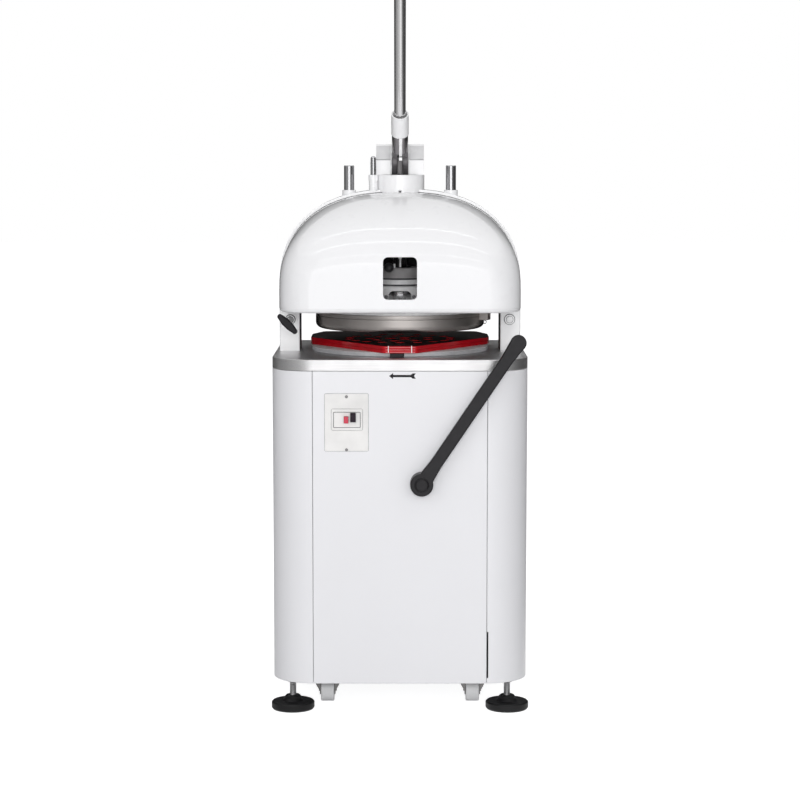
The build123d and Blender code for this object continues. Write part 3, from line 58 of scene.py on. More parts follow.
class Surface:
    """A principled material that is built up from noise in object space."""

    def __init__(self, name, rough, metallic=0.0, **sockets):
        self.material = bpy.data.materials.new(name)
        self.material.use_nodes = True
        self.tree = self.material.node_tree
        self.shader = self.tree.nodes["Principled BSDF"]
        self.shader.inputs["Roughness"].default_value = rough
        self.shader.inputs["Metallic"].default_value = metallic
        for socket, value in sockets.items():
            self.shader.inputs[socket.replace("_", " ")].default_value = value
        self.coords = self.tree.nodes.new("ShaderNodeTexCoord").outputs["Object"]
        self.normal = None

    def link(self, source, target):
        self.tree.links.new(source, target)

    def stretched(self, scale):
        mapping = self.tree.nodes.new("ShaderNodeMapping")
        mapping.inputs["Scale"].default_value = scale
        self.link(self.coords, mapping.inputs["Vector"])
        return mapping.outputs["Vector"]

    def noise(self, scale, detail=3.0, stretch=None, rough=0.55):
        texture = self.tree.nodes.new("ShaderNodeTexNoise")
        texture.inputs["Scale"].default_value = scale
        texture.inputs["Detail"].default_value = detail
        texture.inputs["Roughness"].default_value = rough
        self.link(self.stretched(stretch) if stretch else self.coords, texture.inputs["Vector"])
        return texture.outputs["Fac"]

    def rings(self, pitch):
        """Slightly uneven rings about the upright axis."""
        texture = self.tree.nodes.new("ShaderNodeTexWave")
        texture.wave_type = "RINGS"
        texture.rings_direction = "Z"
        texture.inputs["Scale"].default_value = 1.0 / pitch / WAVE_TURN
        texture.inputs["Distortion"].default_value = 0.4
        texture.inputs["Detail"].default_value = 2.0
        texture.inputs["Detail Scale"].default_value = 4.0
        self.link(self.coords, texture.inputs["Vector"])
        return texture.outputs["Fac"]

    def along(self, axis):
        """Place along one axis of the frame, in metres."""
        split = self.tree.nodes.new("ShaderNodeSeparateXYZ")
        self.link(self.coords, split.inputs["Vector"])
        return split.outputs[axis]

    def ramp(self, factor, *stops):
        node = self.tree.nodes.new("ShaderNodeValToRGB")
        elements = node.color_ramp.elements
        while len(elements) < len(stops):
            elements.new(0.5)
        for element, (place, color) in zip(elements, stops):
            element.position = place
            element.color = (*color, 1.0)
        self.link(factor, node.inputs["Fac"])
        return node.outputs["Color"]

    def span(self, factor, low, high, start=0.3, end=0.7):
        """The factor between start and end, spread over low to high."""
        node = self.tree.nodes.new("ShaderNodeMapRange")
        limits = {"From Min": start, "From Max": end, "To Min": low, "To Max": high}
        for socket, value in limits.items():
            node.inputs[socket].default_value = value
        self.link(factor, node.inputs["Value"])
        return node.outputs["Result"]

    def mix(self, factor, first, second):
        node = self.tree.nodes.new("ShaderNodeMix")
        node.data_type = "RGBA"
        factor_in, first_in, second_in = (node.inputs[k] for k in (0, 6, 7))
        self.link(factor, factor_in)
        for value, socket in ((first, first_in), (second, second_in)):
            if isinstance(value, bpy.types.NodeSocket):
                self.link(value, socket)
            else:
                socket.default_value = (*value, 1.0)
        return node.outputs[2]

    def bevel(self, radius):
        """Normal of the solid with its edges rounded."""
        node = self.tree.nodes.new("ShaderNodeBevel")
        node.samples = BEVEL_SAMPLES
        node.inputs["Radius"].default_value = radius
        return node.outputs["Normal"]

    def edges(self, radius):
        """Mask that is high on the outer and inner edges of the solid."""
        geometry = self.tree.nodes.new("ShaderNodeNewGeometry")
        dot = self.tree.nodes.new("ShaderNodeVectorMath")
        dot.operation = "DOT_PRODUCT"
        self.link(self.bevel(radius), dot.inputs[0])
        self.link(geometry.outputs["Normal"], dot.inputs[1])
        return self.span(dot.outputs["Value"], 1.0, 0.0, 0.8, 0.99)

    def soften(self, radius):
        """Round the edges of the solid in the shading."""
        self.normal = self.bevel(radius)
        self.link(self.normal, self.shader.inputs["Normal"])

    def bump(self, height, strength, distance):
        node = self.tree.nodes.new("ShaderNodeBump")
        node.inputs["Strength"].default_value = strength
        node.inputs["Distance"].default_value = distance
        self.link(height, node.inputs["Height"])
        if self.normal:
            self.link(self.normal, node.inputs["Normal"])
        self.normal = node.outputs["Normal"]
        self.link(self.normal, self.shader.inputs["Normal"])

    def color(self, source):
        self.link(source, self.shader.inputs["Base Color"])

    def roughness(self, source):
        self.link(source, self.shader.inputs["Roughness"])

    def metallic(self, source):
        self.link(source, self.shader.inputs["Metallic"])


def shade(color, amount):
    return tuple(min(1.0, channel * amount) for channel in color)


def enamel(name, color, rough=0.34, coat=0.0, edge=0.0015, spec=0.5):
    """Powder coat: fine orange peel and faint clouding."""
    surface = Surface(name, rough, Coat_Weight=coat, Coat_Roughness=0.03, Specular_IOR_Level=spec)
    surface.color(surface.ramp(surface.noise(2.6, 4.0), (0.3, shade(color, 0.975)), (0.7, color)))
    surface.roughness(surface.span(surface.noise(38.0, 4.0), rough - 0.05, rough + 0.06))
    surface.soften(edge)
    surface.bump(surface.noise(620.0, 2.0), 0.05, 0.0004)
    return surface.material


def brushed(name, color, rough, along="X", edge=0.0015):
    """Satin steel: fine hairlines along one axis."""
    stretch = {"X": (6, 900, 900), "Z": (900, 900, 6)}[along]
    surface = Surface(name, rough, 1.0, Anisotropic=0.35)
    lines = surface.noise(1.0, 3.0, stretch, 0.7)
    tone = surface.ramp(lines, (0.3, shade(color, 0.86)), (0.7, shade(color, 1.08)))
    # Lighter edges: partly wear, partly a painted highlight.
    surface.color(surface.mix(surface.edges(edge), tone, shade(color, 1.3)))
    surface.roughness(surface.span(surface.noise(9.0, 5.0), rough - 0.06, rough + 0.08))
    surface.soften(edge)
    surface.bump(lines, 0.08, 0.0002)
    return surface.material


def turned(name, color, rough, pitch=0.0011, edge=0.0008):
    """Turned or ground metal: rings about the upright axis with a little staining."""
    surface = Surface(name, rough, 1.0)
    tone = surface.ramp(surface.noise(14.0, 5.0), (0.25, shade(color, 0.9)), (0.75, color))
    # Lighter edges: partly wear, partly a painted highlight.
    surface.color(surface.mix(surface.edges(edge), tone, shade(color, 1.25)))
    surface.roughness(surface.span(surface.noise(60.0, 4.0), rough - 0.05, rough + 0.07))
    surface.soften(edge)
    surface.bump(surface.rings(pitch), 0.04, 0.0002)
    return surface.material


def cast(name, color, rough, edge=0.0015, metallic=1.0, tint=1.0):
    """Cast and skimmed metal: fine pitting and cloudy tone."""
    surface = Surface(name, rough, metallic, Specular_Tint=(tint, tint, tint, 1.0))
    cloud = surface.noise(22.0, 6.0)
    tone = surface.ramp(cloud, (0.3, shade(color, 0.86)), (0.7, shade(color, 1.05)))
    # Lighter edges: partly wear, partly a painted highlight.
    surface.color(surface.mix(surface.edges(edge), tone, shade(color, 1.25)))
    surface.roughness(surface.span(cloud, rough - 0.06, rough + 0.1))
    surface.soften(edge)
    surface.bump(surface.noise(480.0, 4.0), 0.12, 0.0004)
    return surface.material


def plastic(name, color, rough, coat=0.0, grain=900.0, relief=0.1, edge=0.001, edge_wear_and_painted_light=1.35, spec=0.35):
    """Moulded plastic: fine spark-eroded grain; edges lighter than the face above one (wear and a painted
    highlight), darker below one (painted shade).
    """
    surface = Surface(name, rough, Coat_Weight=coat, Coat_Roughness=0.08, Specular_IOR_Level=spec)
    cloud = surface.noise(12.0, 4.0)
    tone = surface.ramp(cloud, (0.3, shade(color, 0.9)), (0.7, shade(color, 1.06)))
    surface.color(surface.mix(surface.edges(edge), tone, shade(color, edge_wear_and_painted_light)))
    surface.roughness(surface.span(surface.noise(70.0, 3.0), rough - 0.06, rough + 0.08))
    surface.soften(edge)
    surface.bump(surface.noise(grain, 2.0), relief, 0.0003)
    return surface.material


def rubber(name, color, rough):
    """Matt rubber with dust in its grain."""
    surface = Surface(name, rough, Specular_IOR_Level=0.3)
    dust = surface.noise(30.0, 6.0, rough=0.7)
    surface.color(surface.ramp(dust, (0.35, color), (0.8, shade(color, 2.2))))
    surface.roughness(surface.span(dust, rough - 0.08, rough + 0.12))
    surface.soften(0.001)
    surface.bump(surface.noise(700.0, 3.0), 0.25, 0.0004)
    return surface.material


def two_tone(name, axis, start, end, near, far, rough=(0.45, 0.35), metallic=(0.0, 1.0), spec=0.5):
    """Two finishes on one solid: the first up to a place along an axis, the second past it."""
    surface = Surface(name, rough[0], Specular_IOR_Level=spec)
    place = surface.span(surface.along(axis), 0.0, 1.0, start, end)
    cloud = surface.noise(40.0, 5.0)
    first = surface.ramp(cloud, (0.3, shade(near, 0.85)), (0.7, shade(near, 1.1)))
    second = surface.ramp(cloud, (0.3, shade(far, 0.8)), (0.7, shade(far, 1.08)))
    surface.color(surface.mix(place, first, second))
    surface.roughness(surface.span(place, *rough, 0.0, 1.0))
    surface.metallic(surface.span(place, *metallic, 0.0, 1.0))
    surface.soften(0.0012)
    surface.bump(surface.noise(500.0, 3.0), 0.1, 0.0003)
    return surface.material


def threaded(name, color, pitch, rough=0.3):
    """Plated screw thread about an upright axis, with painted shade in its grooves."""
    surface = Surface(name, rough, 1.0)
    wave = surface.tree.nodes.new("ShaderNodeMath")
    wave.operation = "PINGPONG"
    wave.inputs[1].default_value = pitch / 2
    surface.link(surface.along("Z"), wave.inputs[0])
    depth = surface.span(wave.outputs[0], 0.0, 1.0, 0.0, pitch / 2)
    # Darker thread grooves: painted shade.
    surface.color(surface.ramp(depth, (0.1, shade(color, 0.35)), (0.8, color)))
    surface.roughness(surface.span(surface.noise(90.0, 4.0), rough - 0.06, rough + 0.1))
    surface.bump(depth, 0.7, 0.0007)
    return surface.material


dark_steel = turned("dark_steel", (0.2, 0.195, 0.195), 0.3)
gasket = rubber("gasket_grey", (0.05, 0.05, 0.053), 0.7)
outline_grey = rubber("outline_grey", (0.28, 0.28, 0.285), 0.6)
# Glossier white paint, also lighter than the cabinet's white to lift the shade on the columns and head:
# partly painted light.
gloss_white_painted_light = enamel("gloss_white_painted_light", (0.95, 0.95, 0.96), 0.14, 0.6)
hub_steel = turned("hub_steel", (0.34, 0.325, 0.335), 0.18)
# Darker edges on this dark plastic: painted shade.
hub_grey = plastic("hub_grey", (0.15, 0.144, 0.15), 0.35, edge_wear_and_painted_light=0.3, spec=0.3)
tongue_steel = cast("tongue_steel", (0.17, 0.165, 0.168), 0.4)
# Greyer white on the housing's sloped lid: painted shade.
lid_painted_shade = enamel("lid_painted_shade", (0.68, 0.68, 0.69), 0.24, 0.3)
# Pinkish white for the bright lines on the plate's nose: painted glints.
painted_glint_pink = plastic("painted_glint_pink", (0.85, 0.24, 0.25), 0.25, 0.3)

# Finishes by the record's material slots
finishes = {
    "white_enamel": enamel("white_enamel", (0.84, 0.84, 0.865), edge=0.0025),
    "dome_white": enamel("dome_white", (0.915, 0.915, 0.93), 0.3, 1.0, 0.002, 0.12),
    "frame_grey": enamel("frame_grey", (0.3, 0.31, 0.33), 0.5),
    "satin_stainless": brushed("satin_stainless", (0.74, 0.735, 0.74), 0.36),
    "bright_steel": turned("bright_steel", (0.55, 0.55, 0.565), 0.14),
    "cast_aluminium": cast("cast_aluminium", (0.5, 0.47, 0.455), 0.42),
    # Red sides; the top is near-black as painted shade and painted dark reflection under the press head
    "red_plate": two_tone(
        "red_plate", "Z", 0.9162, 0.9166, near=(0.46, 0.006, 0.013), far=(0.018, 0.004, 0.005),
        rough=(0.18, 0.42), metallic=(0, 0), spec=0.2,
    ),
    # Darker edges on the black plastic: painted shade.
    "black_plastic": plastic(
        "black_plastic", (0.016, 0.015, 0.017), 0.42, edge_wear_and_painted_light=0.2, edge=0.0026, spec=0.26
    ),
    "black_rubber": rubber("black_rubber", (0.0045, 0.0045, 0.005), 0.5),
    "wheel_grey": plastic("wheel_grey", (0.8, 0.8, 0.81), 0.45),
    "switch_ivory": plastic("switch_ivory", (0.85, 0.84, 0.83), 0.42, 0.0, 1200.0, 0.06),
    "stop_red": plastic("stop_red", (0.62, 0.035, 0.075), 0.25, 0.5),
}

# Nodes whose finish differs from the one of their slot
special = {
    "column_left": gloss_white_painted_light,
    "column_right": gloss_white_painted_light,
    "column_caps": gloss_white_painted_light,
    "arch_beam": gloss_white_painted_light,
    "neck": gloss_white_painted_light,
    "lever_housing": gloss_white_painted_light,
    "lever_ferrule": gloss_white_painted_light,
    "post_bushes": gloss_white_painted_light,
    "castor_brackets": dark_steel,
    "ring_latch": dark_steel,
    "panel_screws": dark_steel,
    "foot_stems": threaded("foot_thread", (0.75, 0.75, 0.76), 0.0018),
    # Black knob, steel collar
    "release_lever": two_tone(
        "release_parts", "Y", -0.0985, -0.0975, near=(0.02, 0.02, 0.022), far=(0.34, 0.33, 0.335),
        rough=(0.3, 0.5), metallic=(0.0, 0.1),
    ),
    # Black bar, steel stem
    "lock_handle": two_tone(
        "lock_parts", "Y", -0.1945, -0.1935, near=(0.016, 0.015, 0.017), far=(0.7, 0.7, 0.71), spec=0.2
    ),
    "crosshead": cast("bell_aluminium", (0.95, 0.95, 0.96), 0.36, metallic=0.0),
    "cutter_ring": cast("ring_aluminium", (0.478, 0.447, 0.43), 0.36, tint=0.0),
    "lever_tube": brushed("tube_steel", (0.8, 0.795, 0.8), 0.16, "Z"),
    "lever_hub": hub_grey,
    # Pale lower flange, dark above it
    "plunger": two_tone(
        "plunger_steel", "Z", 1.0733, 1.0737, near=(0.9, 0.9, 0.91), far=(0.05, 0.048, 0.05),
        rough=(0.4, 0.25), metallic=(0.1, 1.0),
    ),
    "start_button": plastic("start_black", (0.02, 0.011, 0.019), 0.4, spec=0.2),
    # Grey side; the top is pale as painted light, lifting the shade of the plate and dome above it
    "rounding_table": two_tone(
        "disc_painted_light_top", "Z", 0.8984, 0.8988, near=(0.45, 0.45, 0.465), far=(0.93, 0.93, 0.94),
        rough=(0.5, 0.5), metallic=(0.2, 0.0),
    ),
    # Darker edges on the rounding lever: painted shade.
    "round_lever_arm": plastic(
        "lever_black", (0.017, 0.016, 0.018), 0.4, grain=380.0, relief=0.5, edge=0.003, edge_wear_and_painted_light=0.08, spec=0.26
    ),
}
for part in frame["record"]["subparts"]:
    mesh = nodes[part["node"]].data
    mesh.materials.clear()
    mesh.materials.append(special.get(part["node"]) or finishes[part["material_slot"]])


# Pieces that are modelled here, in millimetres until a mesh is made
SHARP_ANGLE = 35  # degrees between faces that shows as an edge
SIDES = (("left", -1), ("right", 1))
UP, FORWARD = (0, 0, 1), (0, -1, 0)


def made(name, shape, angle=SHARP_ANGLE):
    """Mesh of a finished shape, smooth apart from its sharp edges."""
    bmesh.ops.recalc_face_normals(shape, faces=shape.faces)
    for vert in shape.verts:
        vert.co *= MM
    mesh = bpy.data.meshes.new(name)
    shape.to_mesh(mesh)
    shape.free()
    mesh.shade_smooth()
    mesh.set_sharp_from_angle(angle=math.radians(angle))
    return mesh


def piece(mesh, material, body, replaced=()):
    """Put a mesh in the scene as a piece that rides on a body."""
    obj = bpy.data.objects.new(mesh.name, mesh)
    scene.collection.objects.link(obj)
    mesh.materials.clear()
    mesh.materials.append(material)
    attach(obj, body)
    if replaced:
        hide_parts(*replaced)


def prism(name, points, shift, edge=0.0):
    """Solid swept from a closed outline of points along a straight shift, with rounded edges."""
    shape = bmesh.new()
    face = shape.faces.new([shape.verts.new(point) for point in points])
    extruded = bmesh.ops.extrude_face_region(shape, geom=[face])
    moved = [item for item in extruded["geom"] if isinstance(item, bmesh.types.BMVert)]
    bmesh.ops.translate(shape, verts=moved, vec=shift)
    if edge:
        bmesh.ops.recalc_face_normals(shape, faces=shape.faces)
        bmesh.ops.bevel(shape, geom=shape.edges[:], offset=edge, segments=2, affect="EDGES", profile=0.5)
    return made(name, shape)


def slab(name, outline, front, back, edge=0.0):
    """Plate with an outline in X and Z between two values of Y."""
    return prism(name, [(x, front, z) for x, z in outline], (0, back - front, 0), edge)


def side_slab(name, outline, x, depth, edge):
    """Plate with an outline in Y and Z, from a value of X over a depth."""
    return prism(name, [(x, y, z) for y, z in outline], (depth, 0, 0), edge)


def rounded(x, z, width, height, radius, steps=5):
    """Outline of a rectangle with rounded corners."""
    points = []
    for turn, (side, up) in enumerate(((1, 1), (-1, 1), (-1, -1), (1, -1))):
        for step in range(steps + 1):
            angle = math.radians(90 * (turn + step / steps))
            points.append((
                x + side * (width / 2 - radius) + radius * math.cos(angle),
                z + up * (height / 2 - radius) + radius * math.sin(angle),
            ))
    return points


def bridge(shape, first, second):
    """Faces between two closed rows of the same number of points."""
    for k in range(len(first)):
        shape.faces.new((first[k], first[k - 1], second[k - 1], second[k]))


def frame_slab(name, outer, inner, front, back):
    """Flat frame between two outlines with the same number of points."""
    shape = bmesh.new()
    rows = []
    for outline, y in ((outer, front), (inner, front), (inner, back), (outer, back)):
        rows.append([shape.verts.new((x, y, z)) for x, z in outline])
    for first, second in zip(rows, rows[1:] + rows[:1]):
        bridge(shape, first, second)
    return made(name, shape)


def turned_shape(name, origin, axis, profile, steps=40):
    """Solid of revolution from (radius, distance along the axis) points."""
    origin, axis = Vector(origin), Vector(axis).normalized()
    across = axis.orthogonal().normalized()
    beside = axis.cross(across)
    shape = bmesh.new()
    rings = []
    for radius, along in profile:
        centre = origin + axis * along
        if radius == 0:
            rings.append([shape.verts.new(centre)])
            continue
        ring = []
        for step in range(steps):
            angle = 2 * math.pi * step / steps
            out = across * math.cos(angle) + beside * math.sin(angle)
            ring.append(shape.verts.new(centre + radius * out))
        rings.append(ring)
    closed = profile[0][0] > 0
    for first, second in zip(rings, rings[1:] + (rings[:1] if closed else [])):
        for k in range(steps):
            corners = [first[k % len(first)], first[k - 1] if len(first) > 1 else None]
            corners += [second[k - 1] if len(second) > 1 else None, second[k % len(second)]]
            shape.faces.new([corner for corner in corners if corner])
    return made(name, shape)


def washer(name, origin, inner, outer, height):
    """Flat ring that faces the front, with a broken outer edge."""
    profile = [(inner, 0), (outer, 0), (outer, height * 0.7), (outer - height * 0.3, height), (inner, height)]
    return turned_shape(name, origin, FORWARD, profile)


def swept(name, path, normals, profile, across):
    """Sweep a closed profile of (inset, shift) along a path; insets follow the normals."""
    shape = bmesh.new()
    rows = []
    for point, normal in zip(path, normals):
        place, inwards, sideways = Vector(point), Vector(normal), Vector(across)
        rows.append([shape.verts.new(place - inwards * inset + sideways * shift) for inset, shift in profile])
    for first, second in zip(rows, rows[1:]):
        bridge(shape, first, second)
    shape.faces.new(rows[0])
    shape.faces.new(list(reversed(rows[-1])))
    return made(name, shape, 50)


def carved(name, mesh, cutters):
    """The mesh with some closed meshes cut out of it."""
    obj = bpy.data.objects.new(name + "_blank", mesh)
    scene.collection.objects.link(obj)
    tools = []
    for cutter in cutters:
        tool = bpy.data.objects.new(cutter.name, cutter)
        scene.collection.objects.link(tool)
        cut = obj.modifiers.new(cutter.name, "BOOLEAN")
        cut.operation = "DIFFERENCE"
        cut.solver = "EXACT"
        cut.object = tool
        tools.append(tool)
    bpy.context.view_layer.update()
    graph = bpy.context.evaluated_depsgraph_get()
    result = bpy.data.meshes.new_from_object(obj.evaluated_get(graph))
    for item in (obj, *tools):
        bpy.data.objects.remove(item)
    result.name = name
    result.shade_smooth()
    result.set_sharp_from_angle(angle=math.radians(SHARP_ANGLE))
    return result


black, steel = finishes["black_plastic"], finishes["bright_steel"]

# Direction arrow and switch
PANEL_Y, SWITCH_Y, BEZEL_Y, SCREW_Y = -300, -302, -307, -304  # front faces
SWITCH_X, SWITCH_Z, BEZEL_X, BEZEL_Z = -132.2, 732.8, -131, 740
SWITCH_SCREWS = (("upper", 797), ("lower", 665))
arrow_outline = [
    (-27, 848), (-17, 855.5), (-17, 850.9), (27, 850.9), (31, 854.5), (39, 854.5), (34.5, 848),
    (39, 841.5), (31, 841.5), (27, 845.1), (-17, 845.1), (-17, 840.5),
]
arrow = slab("direction_arrow", arrow_outline, PANEL_Y - 0.25, PANEL_Y + 0.1)
piece(arrow, black, "cabinet")
switch_outline = rounded(SWITCH_X, SWITCH_Z, 109.5, 144.4, 4)
switch_seal = slab("switch_plate_seal", switch_outline, PANEL_Y - 0.5, PANEL_Y + 0.05)
piece(switch_seal, outline_grey, "cabinet")
bezel_outline = rounded(BEZEL_X, BEZEL_Z, 78.6, 54.6, 5)
bezel_seal = slab("switch_bezel_seal", bezel_outline, SWITCH_Y - 0.4, SWITCH_Y + 0.05)
piece(bezel_seal, outline_grey, "cabinet")
dish_outer = rounded(BEZEL_X, BEZEL_Z, 67.4, 39.4, 2.5)
dish_inner = rounded(BEZEL_X, BEZEL_Z, 64.8, 36.8, 1.5)
dish_seal = frame_slab("switch_dish_seal", dish_outer, dish_inner, BEZEL_Y - 0.3, BEZEL_Y + 0.1)
piece(dish_seal, gasket, "cabinet")
cross = [(-2.2, 0.5), (-0.5, 0.5), (-0.5, 2.2), (0.5, 2.2), (0.5, 0.5), (2.2, 0.5)]
cross += [(-x, -z) for x, z in cross]
for name, screw_z in SWITCH_SCREWS:
    cross_outline = [(SWITCH_X + x, screw_z + z) for x, z in cross]
    mark = slab(f"switch_screw_cross_{name}", cross_outline, SCREW_Y - 0.12, SCREW_Y + 0.1)
    piece(mark, outline_grey, "cabinet")

# Neck and lever housing
NECK_SCREW_Y, NECK_SCREW_Z, SOCKET_DEPTH = -62, 1297, 0.8
PIVOT_Z, SPACER_X = 1358, 19.7
SLOT_HALF, LID_WIDTH, LINER_WALL = 24.4, 36.4, 3.0
screw_profile = [(0, 0), (4.8, 0), (4.8, 1.6), (4.0, 2.4), (2.5, 2.4), (2.5, SOCKET_DEPTH), (0, SOCKET_DEPTH)]
screw_head = turned_shape("neck_screw", (0, NECK_SCREW_Y, NECK_SCREW_Z), FORWARD, screw_profile, 24)
piece(screw_head, steel, "cabinet")
socket_profile = [(0, 0), (2.45, 0), (2.45, 0.7), (0, 0.7)]
socket_place = (0, NECK_SCREW_Y - SOCKET_DEPTH, NECK_SCREW_Z)
hexagon = turned_shape("neck_screw_socket", socket_place, FORWARD, socket_profile, 6)
piece(hexagon, black, "cabinet")
lid_outline = [(-20, 1378.4), (-0.6, 1412.8), (-1.65, 1413.4), (-21.05, 1379)]
lid_seam = [(-20, 1376.4), (-20, 1378.2), (-20.6, 1378.2), (-20.6, 1376.4)]
sheet_outline = [(-19.5, 1339.5), (-19.5, 1378), (2.2, 1416.4), (23, 1416.4), (23, 1339.5)]
spacer_profile = [(0, 0), (18.4, 0), (18.4, 1.0), (0, 1.0)]
for side, sign in SIDES:
    edge_x, width = sign * SLOT_HALF, sign * LID_WIDTH
    lid = side_slab(f"housing_lid_{side}", lid_outline, edge_x, width, 0.25)
    piece(lid, lid_painted_shade, "cabinet")
    seam = side_slab(f"housing_seam_{side}", lid_seam, edge_x, width, 0.15)
    piece(seam, outline_grey, "cabinet")
    sheet = side_slab(f"slot_liner_{side}", sheet_outline, edge_x, -sign * LINER_WALL, 0.2)
    piece(sheet, gloss_white_painted_light, "cabinet")
    spacer_place = (sign * SPACER_X, 0, PIVOT_Z)
    spacer = turned_shape(f"pivot_spacer_{side}", spacer_place, (sign, 0, 0), spacer_profile)
    piece(spacer, hub_grey, "press_lever")

# Columns, with a cap on the right one and the boss of the clamping handle on the left one
COLUMN_X, COLUMN_INNER_X, COLUMN_Y = 282, 258, -40
CAP_Y, BOSS_Y, STEM_Y, CAP_Z = -46, -54, -187.5, 969
sheet_outline = [(-37, 889), (37, 889), (37, 1049), (-37, 1049)]
# Black sheets on the columns' inner faces: painted shade.
for side, sign in SIDES:
    sheet = side_slab(f"column_painted_shade_{side}", sheet_outline, sign * COLUMN_INNER_X, -sign * 1.4, 0.3)
    piece(sheet, black, "cabinet")
for name, x, y, inner, outer, height in (
    ("cap_seal", COLUMN_X, COLUMN_Y, 12.7, 14.2, 1.0),
    ("cap_ring", COLUMN_X, CAP_Y, 8.5, 9.3, 0.4),
    ("boss_seal", -COLUMN_X, COLUMN_Y, 11.4, 13.2, 1.0),
    ("boss_ring", -COLUMN_X, BOSS_Y, 7.2, 9.0, 0.8),
):
    piece(washer(name, (x, y, CAP_Z), inner, outer, height), gasket, "cabinet")
collar_profile = [(7, 0), (9.5, 0), (9.5, 5), (8.5, 6), (7, 6)]
stem_collar = turned_shape("lock_stem_collar", (-COLUMN_X, STEM_Y, CAP_Z), FORWARD, collar_profile)
piece(stem_collar, steel, "lock_handle")


# Dome covers with a rolled lip
DOME_HALF, DOME_RISE, DOME_SHAPE, DOME_CORNER, DOME_REACH = 302.5, 245, 2.45, 85, 270
CROWN_Y, SEAM_Y, SEAL_Y, SPRING_Z, LIP_Z = 60, 40.5, 40.1, 1050, 1010
FRONT_HEIGHT, FRONT_SHAPE, DOME_WALL = 50, 4.5, 4
DOME_TURNS = (0, 1.5, 3, 5, 7.5, 10, 13, 16, 20, 24, 28, 32, 36, 41, 46, 52, 58, 64, 70, 77, 84, 90)
LIP_RADIUS, LIP_STEPS = 10, 8
NECK_CUT, SLEEVE_CUT, SLEEVE_X, SLEEVE_Y, CUT_BOTTOM, CUT_TOP = 63.5, 13, -68.3, -32, 1200, 1400
CUT_STEPS = 54  # keeps the cut's corners off the edges of the shell's faces
WINDOW_FRONT, WINDOW_BACK = -300, -150


def dome_sections():
    """Distance from the arch, half width, rise, shape and plan normal of each section, from the front."""
    rows = []
    for turn in DOME_TURNS:
        along, up = math.cos(math.radians(turn)), math.sin(math.radians(turn))
        y = CROWN_Y + (DOME_REACH - CROWN_Y) * along
        past = max(y - DOME_REACH + DOME_CORNER, 0.0)
        side = math.sqrt(max(DOME_CORNER**2 - past**2, 0.0))
        half = DOME_HALF - DOME_CORNER + side
        rise = FRONT_HEIGHT + (DOME_RISE - FRONT_HEIGHT) * up
        shape = FRONT_SHAPE + (DOME_SHAPE - FRONT_SHAPE) * math.sqrt(up)
        rows.append((y, half, rise, shape, (side / DOME_CORNER, past / DOME_CORNER)))
    rows.append((SEAM_Y, DOME_HALF, DOME_RISE, DOME_SHAPE, (1.0, 0.0)))
    return rows


def crown(half, rise, shape, steps=44):
    """Points of a section from its right foot over the top to its left foot."""
    foot = [(half, LIP_Z), (half, (LIP_Z + SPRING_Z) / 2), (half, SPRING_Z)]
    points = list(foot)
    for step in range(1, steps):
        angle = math.pi * step / steps
        across = math.cos(angle)
        x = math.copysign(half * abs(across) ** (2 / shape), across)
        points.append((x, SPRING_Z + rise * math.sin(angle) ** (2 / shape)))
    return points + [(-x, z) for x, z in reversed(foot)]


def dome_blank(name, sign):
    """Shell of one cover, in front of the arch (-1) or behind it (1)."""
    shape = bmesh.new()
    rows = []
    for y, half, rise, curve, _ in dome_sections():
        rows.append([shape.verts.new((x, sign * y, z)) for x, z in crown(half, rise, curve)])
    for first, second in zip(rows, rows[1:]):
        for k in range(1, len(first)):
            shape.faces.new((first[k - 1], first[k], second[k], second[k - 1]))
    shape.faces.new(rows[0])
    bmesh.ops.recalc_face_normals(shape, faces=shape.faces)
    top = max(shape.faces, key=lambda face: face.calc_center_median().z)
    if top.normal.z < 0:
        bmesh.ops.reverse_faces(shape, faces=shape.faces)
    bmesh.ops.solidify(shape, geom=shape.faces[:], thickness=DOME_WALL)
    return made(name, shape)


def round_cut(name, x, y, radius):
    """Upright cylinder that cuts through the top of the dome."""
    height = CUT_TOP - CUT_BOTTOM
    profile = [(0, 0), (radius, 0), (radius, height), (0, height)]
    return turned_shape(name, (x, y, CUT_BOTTOM), UP, profile, CUT_STEPS)


def dome_lip(name, sign):
    """Rolled lip round the foot of one cover."""
    path, normals = [], []
    for y, half, _, _, (nx, ny) in reversed(dome_sections()):
        path.append((half, sign * y, LIP_Z))
        normals.append((nx, sign * ny, 0))
    path += [(-x, y, z) for x, y, z in reversed(path)]
    normals += [(-x, y, z) for x, y, z in reversed(normals)]
    bends = [math.radians(90 * k / LIP_STEPS) for k in range(LIP_STEPS + 1)]
    inner = LIP_RADIUS - DOME_WALL
    profile = [(LIP_RADIUS - LIP_RADIUS * math.cos(bend), -LIP_RADIUS * math.sin(bend)) for bend in bends]
    profile += [(13, -10), (13.3, -8.5), (13, -7)]
    profile += [(LIP_RADIUS - inner * math.cos(bend), -inner * math.sin(bend)) for bend in reversed(bends)]
    return swept(name, path, normals, profile, UP)


def dome_seal(name, sign):
    """Dark seal between one cover and the arch."""
    seam = crown(DOME_HALF, DOME_RISE, DOME_SHAPE)
    normals = []
    for k in range(len(seam)):
        before, after = seam[max(k - 1, 0)], seam[min(k + 1, len(seam) - 1)]
        along = Vector((after[0] - before[0], 0, after[1] - before[1])).normalized()
        normals.append((along.z, 0, -along.x))
    path = [(x, sign * SEAL_Y, z) for x, z in seam]
    profile = [(-1.2, 0), (-1.2, 2.4), (2.5, 2.4), (2.5, 0)]
    return swept(name, path, normals, profile, (0, sign, 0))


